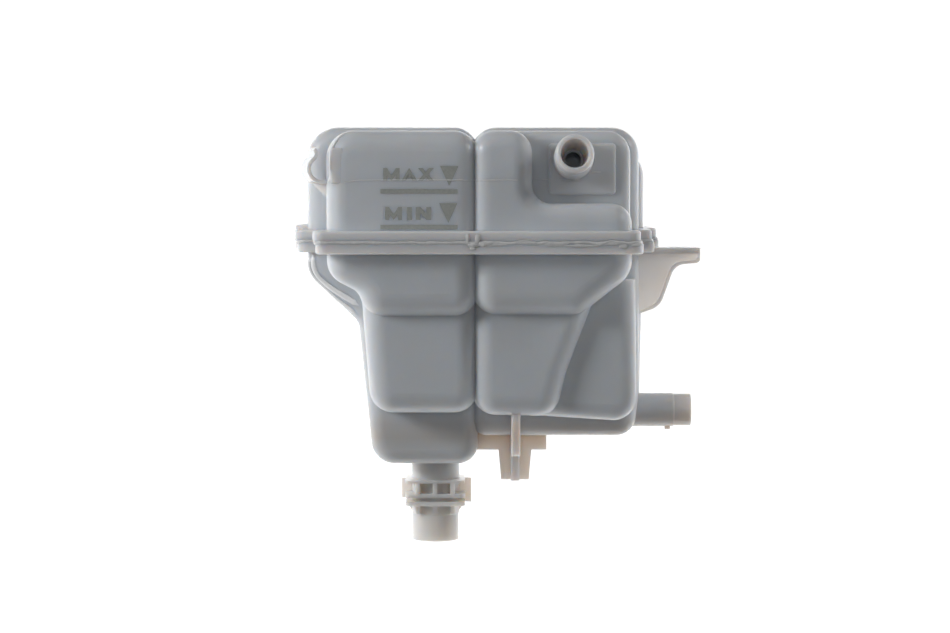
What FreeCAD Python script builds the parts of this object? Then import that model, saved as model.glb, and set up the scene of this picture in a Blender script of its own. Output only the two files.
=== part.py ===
import FreeCAD, Part
import os
import re
import Sketcher

# Coolant expansion tank: two welded mouldings of natural polypropylene and a screw pressure cap.
# Millimetres, +Z up, viewer on the -Y side; the origin is the centre of the outlet spigot's mouth.

Vector = FreeCAD.Vector
doc = FreeCAD.newDocument("coolant_expansion_tank")
sizes = doc.addObject("Spreadsheet::Sheet", "sizes")

SIZES = [
    # walls and the way neighbouring chambers meet
    ("wall", 2.5, "wall of both mouldings"),
    ("lap", 1.5, "how far each chamber passes the middle of its groove"),
    ("rim", 8, "rounding of a chamber's front and back edges"),
    ("soft_rim", 11, "rounding of the front edges of the large front chambers"),
    ("belly_rim", 12, "rounding of the belly's front edges"),
    ("corner", 12.5, "rounding between a chamber's top or bottom and its sides"),
    ("skirt", 4, "how far chambers run past the seam before they are trimmed"),
    ("merge", 8, "how deep two forms of one chamber run into each other"),
    # rows from front to back and the groove between left and right
    ("front_face", -64, "front of the upper moulding"),
    ("row_one", -28, "groove between front and middle rows"),
    ("row_two", 18, "groove between middle and back rows"),
    ("back_face", 78, "back of the tank"),
    ("middle", 21.4, "groove between left and right columns"),
    ("seam", 162.5, "weld between the mouldings"),
    # outline of the upper moulding
    ("front_left", -55.8, "left side of the front row"),
    ("front_right", 102.8, "right side of the front row"),
    ("mid_left", -67.6, "left side of the middle row"),
    ("mid_right", 108.4, "right side of the middle row"),
    ("back_left", -70.4, "left side of the back row"),
    ("back_right", 113.9, "right side of the back row"),
    ("front_rise", 57.9, "height of the front row above the weld"),
    ("mid_rise", 60.1, "height of the middle row above the weld"),
    ("back_rise", 49.5, "height of the right back chamber above the weld"),
    ("deck_rise", 27.5, "height of the lowered deck round the filler neck above the weld"),
    # recess round the vent spout
    ("recess_floor", -46, "floor of the recess"),
    ("recess_left", 51, "left side of the recess"),
    ("recess_rise", 20, "height of the recess's lower side above the weld"),
    ("recess_corner", 10, "rounding of the recess's inner corner"),
    ("pad_left", 59.5, "left side of the raised pad in the recess"),
    ("pad_right", 95, "right side of the raised pad"),
    ("pad_gap", 4.5, "gap between the recess's lower side and the pad"),
    ("pad_tall", 27, "height of the raised pad from its lower side"),
    ("pad_height", 1.5, "height of the raised pad"),
    # lower moulding
    ("belly_face", -62, "front of the upper belly"),
    ("belly_drop", 38.6, "depth of the upper belly below the weld"),
    ("waist_face", -52, "front of the column below the belly"),
    ("waist_bottom", 71.5, "underside of that column"),
    ("waist_left", -38.9, "left side of the column where it leaves the belly"),
    ("waist_foot", -33.2, "left side of the column at its foot"),
    ("waist_right", 107, "right side of the column"),
    ("valley_face", -44, "front of the set-back right part"),
    ("valley_bottom", 67, "underside of the set-back part at the right"),
    ("valley_top", 88, "where the valley leaves the belly"),
    ("valley_foot", 64, "where the valley ends at the foot"),
    ("slope_drop", 16.5, "depth below the weld where the left side turns inwards"),
    ("slope_reach", 27, "height of the slope down to the column"),
    ("sump_bottom", 43.4, "underside of the sump"),
    ("keel_bottom", 58.5, "underside of the right middle chamber"),
    ("heel_bottom", 64, "underside of the back row"),
    ("heel_face", 70, "back of the tank below the belly"),
    # weld flange
    ("flange", 6, "height of each flange above or below the seam"),
    ("flange_reach", 6.6, "how far the flange stands out from the walls"),
    ("flange_shift", 1.4, "sideways mismatch of the two mouldings"),
    ("flange_round", 6, "rounding of the flange's corners"),
    ("flange_edge", 1.2, "rounding of the flange's edges"),
    ("grip_width", 24, "width of the grip lug on the left of the flange"),
    ("grip_rise", 3.2, "how far the lug stands above the flange"),
    # flow holes in the inner walls
    ("flow_hole", 10, "diameter of the flow holes between chambers"),
    ("flow_upper_rise", 33.5, "height of the upper air holes above the weld"),
    ("flow_deck_rise", 15.5, "height of the air holes next to the lowered deck above the weld"),
    ("flow_belly_drop", 14.5, "depth of the flow holes in the belly below the weld"),
    ("flow_foot", 81, "height of the flow holes near the foot"),
    # vent spout
    ("spout_across", 72.6, "spout's distance to the right of the outlet"),
    ("spout_rise", 45.9, "height of the mouth's centre above the weld"),
    ("spout_mouth", -72, "front of the spout"),
    ("spout_tilt", 7, "how far the spout points up"),
    ("spout_radius", 10.2, "outside of the barrel"),
    ("spout_ring", 10, "outside of the rounded mouth"),
    ("spout_ring_length", 5, "length of the mouth's bead"),
    ("spout_groove", 0.7, "depth of the groove behind the bead"),
    ("spout_mouth_bore", 7.3, "radius of the bore at the mouth"),
    ("spout_foot_bore", 5.3, "radius of the bore at the recess's floor"),
    ("spout_hole", 4.1, "radius of the hole into the chamber"),
    ("spout_length", 30, "length of the barrel from the mouth"),
    ("spout_depth", 25, "depth of the widened bore"),
    ("spout_seat", 17.5, "inner end of the hose's seat, from the mouth"),
    # outlet spigot
    ("outlet_radius", 12.6, "outside of the spigot's pipe"),
    ("outlet_bore", 9.6, "radius of the outlet's bore"),
    ("outlet_seat", 14, "length of the hose connector's seat from the mouth"),
    ("hose_stop", 0.3, "how much thicker the pipes are behind the seat"),
    ("collar_half", 16.1, "half width of the square collars"),
    ("collar_round", 3, "rounding of the collars' corners"),
    ("collar_top", 33.4, "top of the upper collar"),
    ("collar_thin", 1.6, "thickness of the upper collar"),
    ("collar_low", 26.2, "top of the lower collar"),
    ("collar_thick", 2.2, "thickness of the lower and last collars"),
    ("collar_last", 21.8, "top of the last collar"),
    ("post_pitch", 9.4, "spacing of the posts between collars"),
    ("post_width", 2.4, "width of each post"),
    ("gusset_foot", 14.8, "foot of the gussets below the last collar"),
    ("lug_left", 18.4, "reach of the left lug"),
    ("lug_right", 19.4, "reach of the right lug"),
    ("lug_thick", 2, "thickness of the lugs"),
    ("lug_left_foot", 22.6, "foot of the left lug"),
    ("lug_right_foot", 20.2, "foot of the right lug"),
    # side stub
    ("stub_depth", 0, "stub's distance behind the outlet"),
    ("stub_up", 70.4, "height of the stub's axis"),
    ("stub_radius", 9.1, "outside of the stub"),
    ("stub_bore", 6.6, "radius of the stub's bore"),
    ("stub_end", 138.2, "end of the stub"),
    ("stub_seat", 9, "length of the stub's end section"),
    ("stub_step_drop", 0.4, "how much slimmer the end section is"),
    ("stub_nub", 3, "width of the nub below the stub"),
    # locating peg
    ("peg_across", 42.9, "peg's distance to the right of the outlet"),
    ("peg_depth", -12, "peg's distance behind the outlet"),
    ("peg_end", 33.7, "lower end of the peg"),
    ("peg_step", 49.8, "where the peg widens to its shoulder"),
    ("peg_top_half", 8.9, "half width of the peg below its shoulder"),
    ("peg_end_half", 7.5, "half width of the peg's end"),
    ("peg_web", 2.6, "thickness of the cross web"),
    ("peg_rib", 4.6, "thickness of the web that runs to the front"),
    ("shoulder_half", 18, "half width of the shoulder"),
    ("shoulder_front", -46, "front of the shoulder's web"),
    # bracket
    ("bracket_drop", 4.1, "depth of the bracket's plate below the weld"),
    ("bracket_plate", 3.2, "thickness of the plate"),
    ("bracket_tip", 142.3, "right end of the bracket"),
    ("bracket_near", -12, "front of the bracket"),
    ("bracket_far", 14, "back of the bracket"),
    ("bracket_web", 2.4, "thickness of the bracket's webs"),
    ("bracket_rim", 1.4, "thickness of the rim along the webs"),
    ("bracket_hole", 4.3, "radius of the screw hole"),
    ("bracket_boss", 8, "radius of the boss round the hole"),
    ("bracket_boss_height", 6, "length of the screw hole"),
    ("bracket_hole_across", 130.5, "hole's distance to the right of the outlet"),
    ("bracket_hole_depth", 1, "hole's distance behind the outlet"),
    ("bracket_tall", 32.4, "height of the bracket's webs"),
    # hose hook
    ("hook_near", -56, "front of the hook"),
    ("hook_depth", 22, "length of the hook along the hose"),
    ("hook_turn", 11.5, "how far the hose's path turns outwards from the wall"),
    ("hook_strip", 2, "thickness of the hook"),
    ("hook_radius", 6.6, "radius of the hook's middle line"),
    ("hook_across", -58.2, "centre of the hook's bend"),
    ("hook_rise", 37.9, "height of the bend's centre above the weld"),
    ("hook_open", 128, "direction where the bend ends, from the right"),
    ("hook_lip", 3.5, "radius of the lip's middle line"),
    ("hook_lip_sweep", 97, "turn of the lip"),
    ("hook_gusset", 8, "height of the gusset under the hook"),
    ("hook_pad_width", 9.2, "reach of the pad beside the hook over the chamber's rounded edge"),
    # filler neck and cap
    ("neck_across", -24, "neck's distance from the outlet"),
    ("neck_depth", 50.5, "neck's distance behind the outlet"),
    ("neck_rise", 48.5, "height of the neck's lip above the weld"),
    ("neck_radius", 21, "outside of the neck"),
    ("neck_bore", 18, "radius of the neck's bore"),
    ("cap_head", 11.4, "height of the cap above the neck's lip"),
    ("cap_wall", 2.4, "wall of the cap"),
    ("cap_hang", 16, "reach of the cap's skirt below the neck's lip"),
    ("cap_ribs", 24, "number of grip ribs"),
    ("cap_rib", 1, "radius of each grip rib"),
    ("thread_gap", 3.1, "room for the thread between neck and cap"),
    ("fit", 0.3, "clearance between the valve unit and the neck"),
    ("unit_flange", 2, "thickness of the valve unit's flange"),
    ("unit_hang", 15, "reach of the valve unit below the neck's lip"),
    ("unit_wall", 4, "wall of the valve unit"),
    ("ring_section", 1.3, "radius of the sealing ring's section"),
    ("ring_hang", 7, "depth of the sealing ring below the neck's lip"),
    ("port_radius", 8, "radius of the pressure port"),
    ("plate_radius", 12, "radius of the pressure plate"),
    ("plate_thick", 2.4, "thickness of the pressure plate"),
    ("seat_rise", 0.8, "height of the seat's lip"),
    ("seal_thick", 1, "thickness of the plate's sealing washer"),
    ("spring_radius", 8.4, "radius of the pressure spring's middle line"),
    ("spring_wire", 0.7, "radius of the pressure spring's wire"),
    ("spring_turns", 4, "turns of each spring"),
    ("retainer_thick", 1.6, "thickness of the spring retainer"),
    ("stem_radius", 1.5, "radius of the vacuum valve's stem"),
    ("stem_fit", 0.2, "running clearance of the stem"),
    ("vacuum_radius", 4.6, "radius of the vacuum valve's disc"),
    ("vacuum_thick", 1, "thickness of the vacuum valve's disc"),
    ("vacuum_port", 0.8, "radius of the ports in the pressure plate"),
    ("vacuum_port_ring", 3, "distance of the ports from the stem's axis"),
    ("vacuum_head", 3.4, "radius of the stem's head"),
    ("vacuum_head_hang", 4.5, "depth of the underside of the stem's head below the neck's lip"),
    ("vacuum_spring_radius", 2.6, "radius of the vacuum spring's middle line"),
    ("vacuum_wire", 0.25, "radius of the vacuum spring's wire"),
]

# Levels that follow the weld or the neck's lip
LEVELS = [
    ("front_top", "seam + front_rise"),
    ("mid_top", "seam + mid_rise"),
    ("back_top", "seam + back_rise"),
    ("deck", "seam + deck_rise"),
    ("recess_bottom", "seam + recess_rise"),
    ("pad_bottom", "recess_bottom + pad_gap"),
    ("pad_top", "pad_bottom + pad_tall"),
    ("belly_bottom", "seam - belly_drop"),
    ("slope_top", "seam - slope_drop"),
    ("slope_foot", "slope_top - slope_reach"),
    ("flow_upper", "seam + flow_upper_rise"),
    ("flow_deck", "seam + flow_deck_rise"),
    ("flow_belly", "seam - flow_belly_drop"),
    ("spout_up", "seam + spout_rise"),
    ("bracket_top", "seam - bracket_drop"),
    ("bracket_foot", "bracket_top - bracket_tall"),
    ("hook_up", "seam + hook_rise"),
    ("neck_lip", "seam + neck_rise"),
    ("cap_top", "neck_lip + cap_head"),
    ("cap_skirt", "neck_lip - cap_hang"),
    ("unit_bottom", "neck_lip - unit_hang"),
    ("ring_up", "neck_lip - ring_hang"),
    ("vacuum_head_up", "neck_lip - vacuum_head_hang"),
]

cells = [(alias, str(number), meaning) for alias, number, meaning in SIZES]
cells += [(alias, "=" + formula, "level") for alias, formula in LEVELS]
for row, (alias, content, meaning) in enumerate(cells, start=1):
    sizes.set("A%d" % row, meaning)
    sizes.set("B%d" % row, content)
    sizes.setAlias("B%d" % row, alias)
doc.recompute()


def bind(text):
    """Writes each size's name in text as the sheet's own cell."""
    return re.sub(r"[a-z][a-z_]*", lambda word: "sizes." + word.group(0), text)


def value(text):
    """The number that an expression of sizes gives."""
    return float(sizes.evalExpression(bind(text)))


def set_size(thing, prop, text):
    """Ties one property of an object to an expression of sizes."""
    thing.setExpression(prop, bind(text))


def origin_plane(body, role):
    """A body's own origin plane, found by its role."""
    return [f for f in body.Origin.OriginFeatures if f.Role == role][0]


def outline_sketch(body, name, role, corners, offset):
    """A closed polygon on an origin plane, each corner held by two sizes."""
    sketch = body.newObject("Sketcher::SketchObject", name)
    sketch.AttachmentSupport = (origin_plane(body, role), [""])
    sketch.MapMode = "FlatFace"
    set_size(sketch, ".AttachmentOffset.Base.z", offset)
    points = [Vector(value(a), value(b), 0) for a, b in corners]
    count = len(points)
    for i in range(count):
        sketch.addGeometry(Part.LineSegment(points[i], points[(i + 1) % count]), False)
    for i in range(count):
        sketch.addConstraint(Sketcher.Constraint("Coincident", i, 2, (i + 1) % count, 1))
    for i, (a, b) in enumerate(corners):
        for kind, text, number in (("DistanceX", a, points[i].x), ("DistanceY", b, points[i].y)):
            index = sketch.addConstraint(Sketcher.Constraint(kind, -1, 1, i, 1, number))
            set_size(sketch, "Constraints[%d]" % index, text)
    return sketch


def circle_sketch(body, name, radius, across, level):
    """A circle beside a body's own axis, on a level plane."""
    sketch = body.newObject("Sketcher::SketchObject", name)
    sketch.AttachmentSupport = (origin_plane(body, "XY_Plane"), [""])
    sketch.MapMode = "FlatFace"
    set_size(sketch, ".AttachmentOffset.Base.z", level)
    sketch.addGeometry(Part.Circle(Vector(value(across), 0, 0), Vector(0, 0, 1), value(radius)), False)
    held = [
        (Sketcher.Constraint("Radius", 0, value(radius)), radius),
        (Sketcher.Constraint("DistanceX", -1, 1, 0, 3, value(across)), across),
        (Sketcher.Constraint("DistanceY", -1, 1, 0, 3, 0), "0 * wall"),
    ]
    for constraint, text in held:
        index = sketch.addConstraint(constraint)
        set_size(sketch, "Constraints[%d]" % index, text)
    return sketch


def pad_outline(body, name, role, corners, offset, length):
    """A polygon padded along its plane's normal."""
    sketch = outline_sketch(body, name + "_outline", role, corners, offset)
    pad = body.newObject("PartDesign::Pad", name + "_pad")
    pad.Profile = sketch
    set_size(pad, "Length", length)
    doc.recompute()
    return pad


def edge_names(shape, wanted):
    """Names of the edges for which wanted(edge) holds."""
    return ["Edge%d" % (i + 1) for i, edge in enumerate(shape.Edges) if wanted(edge)]


def runs_along(edge, axis):
    """Whether an edge is straight and lies along an axis."""
    curve = edge.Curve
    return curve.TypeId == "Part::GeomLine" and abs(curve.Direction.dot(axis)) > 0.999


def near(a, b):
    """Whether two lengths agree."""
    return abs(a - b) < 1e-4


def round_edges(body, base, name, wanted, radius):
    """A fillet on the chosen edges of a body's last feature."""
    fillet = body.newObject("PartDesign::Fillet", name)
    fillet.Base = (base, edge_names(base.Shape, wanted))
    set_size(fillet, "Radius", radius)
    doc.recompute()
    return fillet


def round_corners(body, last, name, corners, along, flat):
    """Rounds the padded polygon's corners, one fillet for each radius in use."""
    for k, radius in enumerate(sorted(set(c[2] for c in corners if c[2]))):
        spots = [(value(c[0]), value(c[1])) for c in corners if c[2] == radius]

        def at_corner(edge):
            if not runs_along(edge, along):
                return False
            a, b = flat(edge.CenterOfMass)
            return any(near(a, x) and near(b, y) for x, y in spots)

        last = round_edges(body, last, "%s_corner_%d" % (name, k), at_corner, radius)
    return last


def chamber(name, corners, near_face, far_face, ends, open_level=None):
    """One pillow-shaped chamber: a side view outline padded from front to back.

    corners are (x, z, rounding); ends are (face, rounding) for the faces whose edges are rounded,
    apart from the edge that lies on the open level.
    """
    body = doc.addObject("PartDesign::Body", name)
    flat = [(c[0], c[1]) for c in corners]
    length = "(%s) - (%s)" % (far_face, near_face)
    last = pad_outline(body, name, "XZ_Plane", flat, "-(%s)" % far_face, length)
    last = round_corners(body, last, name, corners, Vector(0, 1, 0), lambda p: (p.x, p.z))
    shut = None if open_level is None else value(open_level)
    for k, (face, rounding) in enumerate(ends):
        depth = value(face)

        def on_rim(edge):
            box = edge.BoundBox
            if shut is not None and near(box.ZMin, shut) and near(box.ZMax, shut):
                return False
            return near(box.YMin, depth) and near(box.YMax, depth)

        last = round_edges(body, last, "%s_rim_%d" % (name, k), on_rim, rounding)
    return body


def plate(name, corners, bottom, top, edge=None, edge_ends=None):
    """A flat plate: a plan outline padded upwards, with rounded corners and edges."""
    body = doc.addObject("PartDesign::Body", name)
    flat = [(c[0], c[1]) for c in corners]
    last = pad_outline(body, name, "XY_Plane", flat, bottom, "(%s) - (%s)" % (top, bottom))
    last = round_corners(body, last, name, corners, Vector(0, 0, 1), lambda p: (p.x, p.y))
    if edge:
        levels = [value(end) for end in edge_ends]

        def on_edge(item):
            box = item.BoundBox
            return any(near(box.ZMin, z) and near(box.ZMax, z) for z in levels)

        round_edges(body, last, name + "_edge", on_edge, edge)
    return body


def turned(name, profile, across, depth):
    """A turned body about a vertical axis from (radius, height) corners."""
    body = doc.addObject("PartDesign::Body", name)
    sketch = outline_sketch(body, name + "_profile", "XZ_Plane", profile, "0 * wall")
    turn = body.newObject("PartDesign::Revolution", name + "_turn")
    turn.Profile = sketch
    turn.ReferenceAxis = (sketch, ["V_Axis"])
    turn.Angle = 360
    set_size(body, ".Placement.Base.x", across)
    set_size(body, ".Placement.Base.y", depth)
    doc.recompute()
    return body


def box(name, x0, x1, y0, y1, z0, z1):
    """An upright block between six sizes."""
    block = doc.addObject("Part::Box", name)
    set_size(block, "Length", "(%s) - (%s)" % (x1, x0))
    set_size(block, "Width", "(%s) - (%s)" % (y1, y0))
    set_size(block, "Height", "(%s) - (%s)" % (z1, z0))
    set_size(block, ".Placement.Base.x", x0)
    set_size(block, ".Placement.Base.y", y0)
    set_size(block, ".Placement.Base.z", z0)
    return block


def rod(name, radius, length, base, axis):
    """A round bar from base along an axis."""
    bar = doc.addObject("Part::Cylinder", name)
    set_size(bar, "Radius", radius)
    set_size(bar, "Height", length)
    bar.Placement = FreeCAD.Placement(Vector(0, 0, 0), FreeCAD.Rotation(Vector(0, 0, 1), axis))
    for letter, text in zip("xyz", base):
        set_size(bar, ".Placement.Base." + letter, text)
    return bar


def join(name, parts):
    """One solid made of several that overlap."""
    union = doc.addObject("Part::MultiFuse", name)
    union.Shapes = parts
    doc.recompute()
    return union


def cut(name, base, tool):
    """A solid less another."""
    rest = doc.addObject("Part::Cut", name)
    rest.Base = base
    rest.Tool = tool
    doc.recompute()
    return rest


def inside(body):
    """The hollow of a chamber: its form drawn in by the wall all over."""
    hollow = doc.addObject("Part::Offset", body.Name + "_hollow")
    hollow.Source = body
    set_size(hollow, "Value", "-wall")
    hollow.Mode = 0
    hollow.Join = 2
    return hollow


below = "seam - skirt"
above = "seam + skirt"

# Upper moulding, chambers from front to back
upper_chambers = [
    chamber(
        "upper_front_left",
        [("front_left", below, ""), ("middle + lap", below, ""),
         ("middle + lap", "front_top", "corner"), ("front_left", "front_top", "corner + 2")],
        "front_face", "row_one + lap", [("front_face", "soft_rim"), ("row_one + lap", "rim")], below,
    ),
    chamber(
        "upper_front_right",
        [("middle - lap", below, ""), ("front_right", below, ""),
         ("front_right", "recess_bottom", "corner - 2"),
         ("recess_left", "recess_bottom", "recess_corner"), ("recess_left", "front_top", "corner - 1"),
         ("middle - lap", "front_top", "corner - 1")],
        "front_face", "recess_floor + merge", [("front_face", "rim + 1.5")], below,
    ),
    chamber(
        "upper_recess",
        [("middle - lap", below, ""), ("front_right", below, ""),
         ("front_right", "front_top", "corner"), ("middle - lap", "front_top", "corner")],
        "recess_floor", "row_one + lap", [("recess_floor", "rim - 3"), ("row_one + lap", "rim - 3")], below,
    ),
    chamber(
        "upper_mid_left",
        [("mid_left", below, ""), ("middle + lap", below, ""),
         ("middle + lap", "mid_top", "corner"), ("mid_left", "mid_top", "corner + 4")],
        "row_one - lap", "row_two + lap", [("row_one - lap", "rim"), ("row_two + lap", "rim")], below,
    ),
    chamber(
        "upper_mid_right",
        [("middle - lap", below, ""), ("mid_right", below, ""),
         ("mid_right", "mid_top", "corner + 2"), ("middle - lap", "mid_top", "corner")],
        "row_one - lap", "row_two + lap", [("row_one - lap", "rim"), ("row_two + lap", "rim")], below,
    ),
    chamber(
        "upper_back_left",
        [("back_left", below, ""), ("middle + lap", below, ""),
         ("middle + lap", "deck", "corner"), ("back_left", "deck", "corner")],
        "row_two - lap", "back_face", [("row_two - lap", "rim"), ("back_face", "rim + 2")], below,
    ),
    chamber(
        "upper_back_right",
        [("middle - lap", below, ""), ("back_right", below, ""),
         ("back_right", "back_top", "corner + 3"), ("middle - lap", "back_top", "corner")],
        "row_two - lap", "back_face", [("row_two - lap", "rim"), ("back_face", "rim + 2")], below,
    ),
]

# Lower moulding, chambers from front to back
lower_chambers = [
    chamber(
        "lower_belly_left",
        [("front_left", above, ""), ("front_left", "belly_bottom + 21", "belly_rim + 1"),
         ("waist_left - 0.8", "belly_bottom + 12.5", "rim"),
         ("waist_left + 4.2", "belly_bottom", "belly_rim + 1"),
         ("middle + lap", "belly_bottom", "belly_rim + 1"), ("middle + lap", above, "")],
        "belly_face", "row_one + lap", [("belly_face", "belly_rim")], above,
    ),
    chamber(
        "lower_belly_right",
        [("middle - lap", above, ""), ("middle - lap", "belly_bottom + 0.7", "belly_rim + 1"),
         ("front_right - 26.4", "belly_bottom + 0.7", "corner + 3"),
         ("front_right + 0.5", "belly_bottom + 21.7", "corner + 3"), ("front_right + 0.5", above, "")],
        "belly_face", "row_one + lap", [("belly_face", "belly_rim")], above,
    ),
    chamber(
        "lower_waist_left",
        [("waist_left", "seam - 20", ""), ("waist_foot", "waist_bottom + 1", "corner"),
         ("middle + lap", "waist_bottom + 1", "corner"), ("middle + lap", "seam - 20", "")],
        "waist_face", "row_one + lap", [("waist_face", "soft_rim")], "seam - 20",
    ),
    chamber(
        "lower_waist_right",
        [("middle - lap", "seam - 20", ""), ("middle - lap", "waist_bottom", "corner"),
         ("valley_foot", "waist_bottom - 1", "corner"),
         ("valley_foot + 5.5", "waist_bottom + 22", "corner * 3"),
         ("valley_top", "seam - 20", "")],
        "waist_face", "row_one + lap", [("waist_face", "soft_rim")], "seam - 20",
    ),
    chamber(
        "lower_valley",
        [("middle - lap", "seam - 20", ""), ("middle - lap", "waist_bottom + 1", "corner"),
         ("waist_right", "valley_bottom", "corner"), ("waist_right - 1", "seam - 20", "")],
        "valley_face", "row_one + lap", [("valley_face", "rim + 1")], "seam - 20",
    ),
    chamber(
        "lower_mid_left",
        [("mid_left", above, ""), ("mid_left", "slope_top", "corner"),
         ("waist_left - 1.6", "slope_foot", "rim"),
         ("waist_foot + 0.4", "sump_bottom", "corner"), ("middle + lap", "sump_bottom", "corner - 2"),
         ("middle + lap", above, "")],
        "row_one - lap", "row_two + lap", [("row_one - lap", "rim"), ("row_two + lap", "rim")], above,
    ),
    chamber(
        "lower_mid_right",
        [("middle - lap", above, ""), ("middle - lap", "keel_bottom", "rim"),
         ("waist_right - 1", "keel_bottom", "corner - 2"), ("mid_right + 0.8", "waist_bottom + 13", "corner"),
         ("mid_right", above, "")],
        "row_one - lap", "row_two + lap", [("row_one - lap", "rim"), ("row_two + lap", "rim")], above,
    ),
    chamber(
        "lower_back_left",
        [("back_left", above, ""), ("back_left", "slope_top - 3", "corner"),
         ("waist_left - 2.6", "slope_foot - 3", "rim"), ("waist_foot - 2", "heel_bottom", "corner"),
         ("middle + lap", "heel_bottom", "corner"), ("middle + lap", above, "")],
        "row_two - lap", "heel_face", [("row_two - lap", "rim"), ("heel_face", "rim + 2")], above,
    ),
    chamber(
        "lower_back_right",
        [("middle - lap", above, ""), ("middle - lap", "heel_bottom", "corner"),
         ("back_right - 2", "heel_bottom", "corner"), ("back_right", above, "")],
        "row_two - lap", "heel_face", [("row_two - lap", "rim"), ("heel_face", "rim + 2")], above,
    ),
    chamber(
        "lower_back_belly_left",
        [("back_left", above, ""), ("back_left", "slope_top - 3", "corner"),
         ("waist_left - 2.6", "slope_foot + 1", "rim"), ("middle + lap", "slope_foot + 1", "corner"),
         ("middle + lap", above, "")],
        "row_two + corner", "back_face", [("back_face", "rim + 2")], above,
    ),
    chamber(
        "lower_back_belly_right",
        [("middle - lap", above, ""), ("middle - lap", "slope_foot + 1", "corner"),
         ("back_right", "slope_foot + 1", "corner"), ("back_right", above, "")],
        "row_two + corner", "back_face", [("back_face", "rim + 2")], above,
    ),
]


# Weld flange: one plan outline that steps out with the rows, used for both mouldings
def flange_outline(shift):
    """Plan corners of a flange, moved sideways by the mouldings' mismatch."""
    reach = "flange_reach"
    return [
        ("front_left - %s + %s" % (reach, shift), "front_face - %s" % reach, "flange_round"),
        ("front_right + %s - 2.4 + %s" % (reach, shift), "front_face - %s" % reach, "flange_round"),
        ("front_right + %s - 2.4 + %s" % (reach, shift), "row_one - 4", "flange_round / 3"),
        ("mid_right + %s + %s" % (reach, shift), "row_one - 4", "flange_round / 2"),
        ("mid_right + %s + %s" % (reach, shift), "row_two - 4", "flange_round / 3"),
        ("back_right + %s + %s" % (reach, shift), "row_two - 4", "flange_round / 2"),
        ("back_right + %s + %s" % (reach, shift), "back_face + %s" % reach, "flange_round"),
        ("back_left - %s + %s" % (reach, shift), "back_face + %s" % reach, "flange_round"),
        ("back_left - %s + %s" % (reach, shift), "row_two - 2", "flange_round / 4"),
        ("mid_left - %s + %s" % (reach, shift), "row_two - 2", ""),
        ("mid_left - %s + %s" % (reach, shift), "row_one - 4", "flange_round"),
        ("front_left - %s + %s" % (reach, shift), "row_one - 4", "flange_round / 3"),
    ]


upper_flange = plate("upper_flange", flange_outline("0 * wall"), "seam", "seam + flange", "flange_edge",
                     ["seam", "seam + flange"])
lower_flange = plate("lower_flange", flange_outline("flange_shift"), "seam - flange", "seam", "flange_edge",
                     ["seam", "seam - flange"])

around = ("back_left - 60", "back_right + 60", "front_face - 60", "back_face + 60")
room = box("room_above", *around, "seam", "seam + 90")
cellar = box("room_below", *around, "-skirt", "seam")

# Grip lug on the flange's left side, half on each moulding
grip_side = "mid_left - flange_reach"


def grip_lug(name, bottom, top, tall_end):
    """One half of the lug: a block whose outer edge is bevelled."""
    corners = [
        (grip_side, bottom if tall_end == top else bottom + " + flange_edge", ""),
        ("mid_left + wall", bottom, ""),
        ("mid_left + wall", top, ""),
        (grip_side, top + " - flange_edge" if tall_end == top else top, ""),
    ]
    body = doc.addObject("PartDesign::Body", name)
    pad_outline(body, name, "XZ_Plane", [(c[0], c[1]) for c in corners],
                "-(row_one + 10 + grip_width)", "grip_width")
    return body


upper_grip = grip_lug("upper_grip", "seam", "seam + flange + grip_rise", "seam + flange + grip_rise")
lower_grip = grip_lug("lower_grip", "seam - flange + 1", "seam", "seam - flange + 1")

# Vent spout: a barrel with a beaded mouth that leans up out of the recess
spout = doc.addObject("PartDesign::Body", "spout_body")
bead = "spout_ring_length"
outline_sketch(
    spout, "spout_profile", "XZ_Plane",
    [("0 * wall", "0 * wall"), ("spout_ring", "0 * wall"), ("spout_ring", bead),
     ("spout_radius - spout_groove", bead + " + 1"), ("spout_radius", bead + " + 2.5"),
     ("spout_radius", "spout_seat"), ("spout_radius + hose_stop", "spout_seat + 4 * hose_stop"),
     ("spout_radius + hose_stop", "spout_length"), ("0 * wall", "spout_length")],
    "0 * wall",
)
spout_turn = spout.newObject("PartDesign::Revolution", "spout_turn")
spout_turn.Profile = doc.spout_profile
spout_turn.ReferenceAxis = (doc.spout_profile, ["V_Axis"])
spout_turn.Angle = 360
doc.recompute()
round_edges(
    spout, spout_turn, "spout_mouth_round",
    lambda edge: edge.Curve.TypeId == "Part::GeomCircle" and near(edge.Curve.Radius, value("spout_ring")),
    "spout_ring_length * 0.42",
)
spout_bore = doc.addObject("PartDesign::Body", "spout_bore_body")
outline_sketch(
    spout_bore, "spout_bore_profile", "XZ_Plane",
    [("0 * wall", "-1"), ("spout_mouth_bore + 1", "-1"), ("spout_mouth_bore", "1"),
     ("spout_foot_bore", "spout_depth"), ("spout_hole", "spout_depth"),
     ("spout_hole", "spout_length + 14"), ("0 * wall", "spout_length + 14")],
    "0 * wall",
)
bore_turn = spout_bore.newObject("PartDesign::Revolution", "spout_bore_turn")
bore_turn.Profile = doc.spout_bore_profile
bore_turn.ReferenceAxis = (doc.spout_bore_profile, ["V_Axis"])
bore_turn.Angle = 360
for part in (spout, spout_bore):
    part.Placement = FreeCAD.Placement(Vector(0, 0, 0), FreeCAD.Rotation(Vector(-1, 0, 0), 90))
    set_size(part, ".Placement.Base.x", "spout_across")
    set_size(part, ".Placement.Base.y", "spout_mouth")
    set_size(part, ".Placement.Base.z", "spout_up")
    set_size(part, ".Placement.Rotation.Angle", "90 + spout_tilt")
doc.recompute()

# Hose hook: a strip bent round the hose, moulded on the left wall and turned to follow the hose
def polar(centre, radius, degrees):
    """A point at a distance and direction from a centre, in the side view plane."""
    turn = FreeCAD.Rotation(Vector(0, -1, 0), degrees)
    return centre + turn.multVec(Vector(radius, 0, 0))


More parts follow.
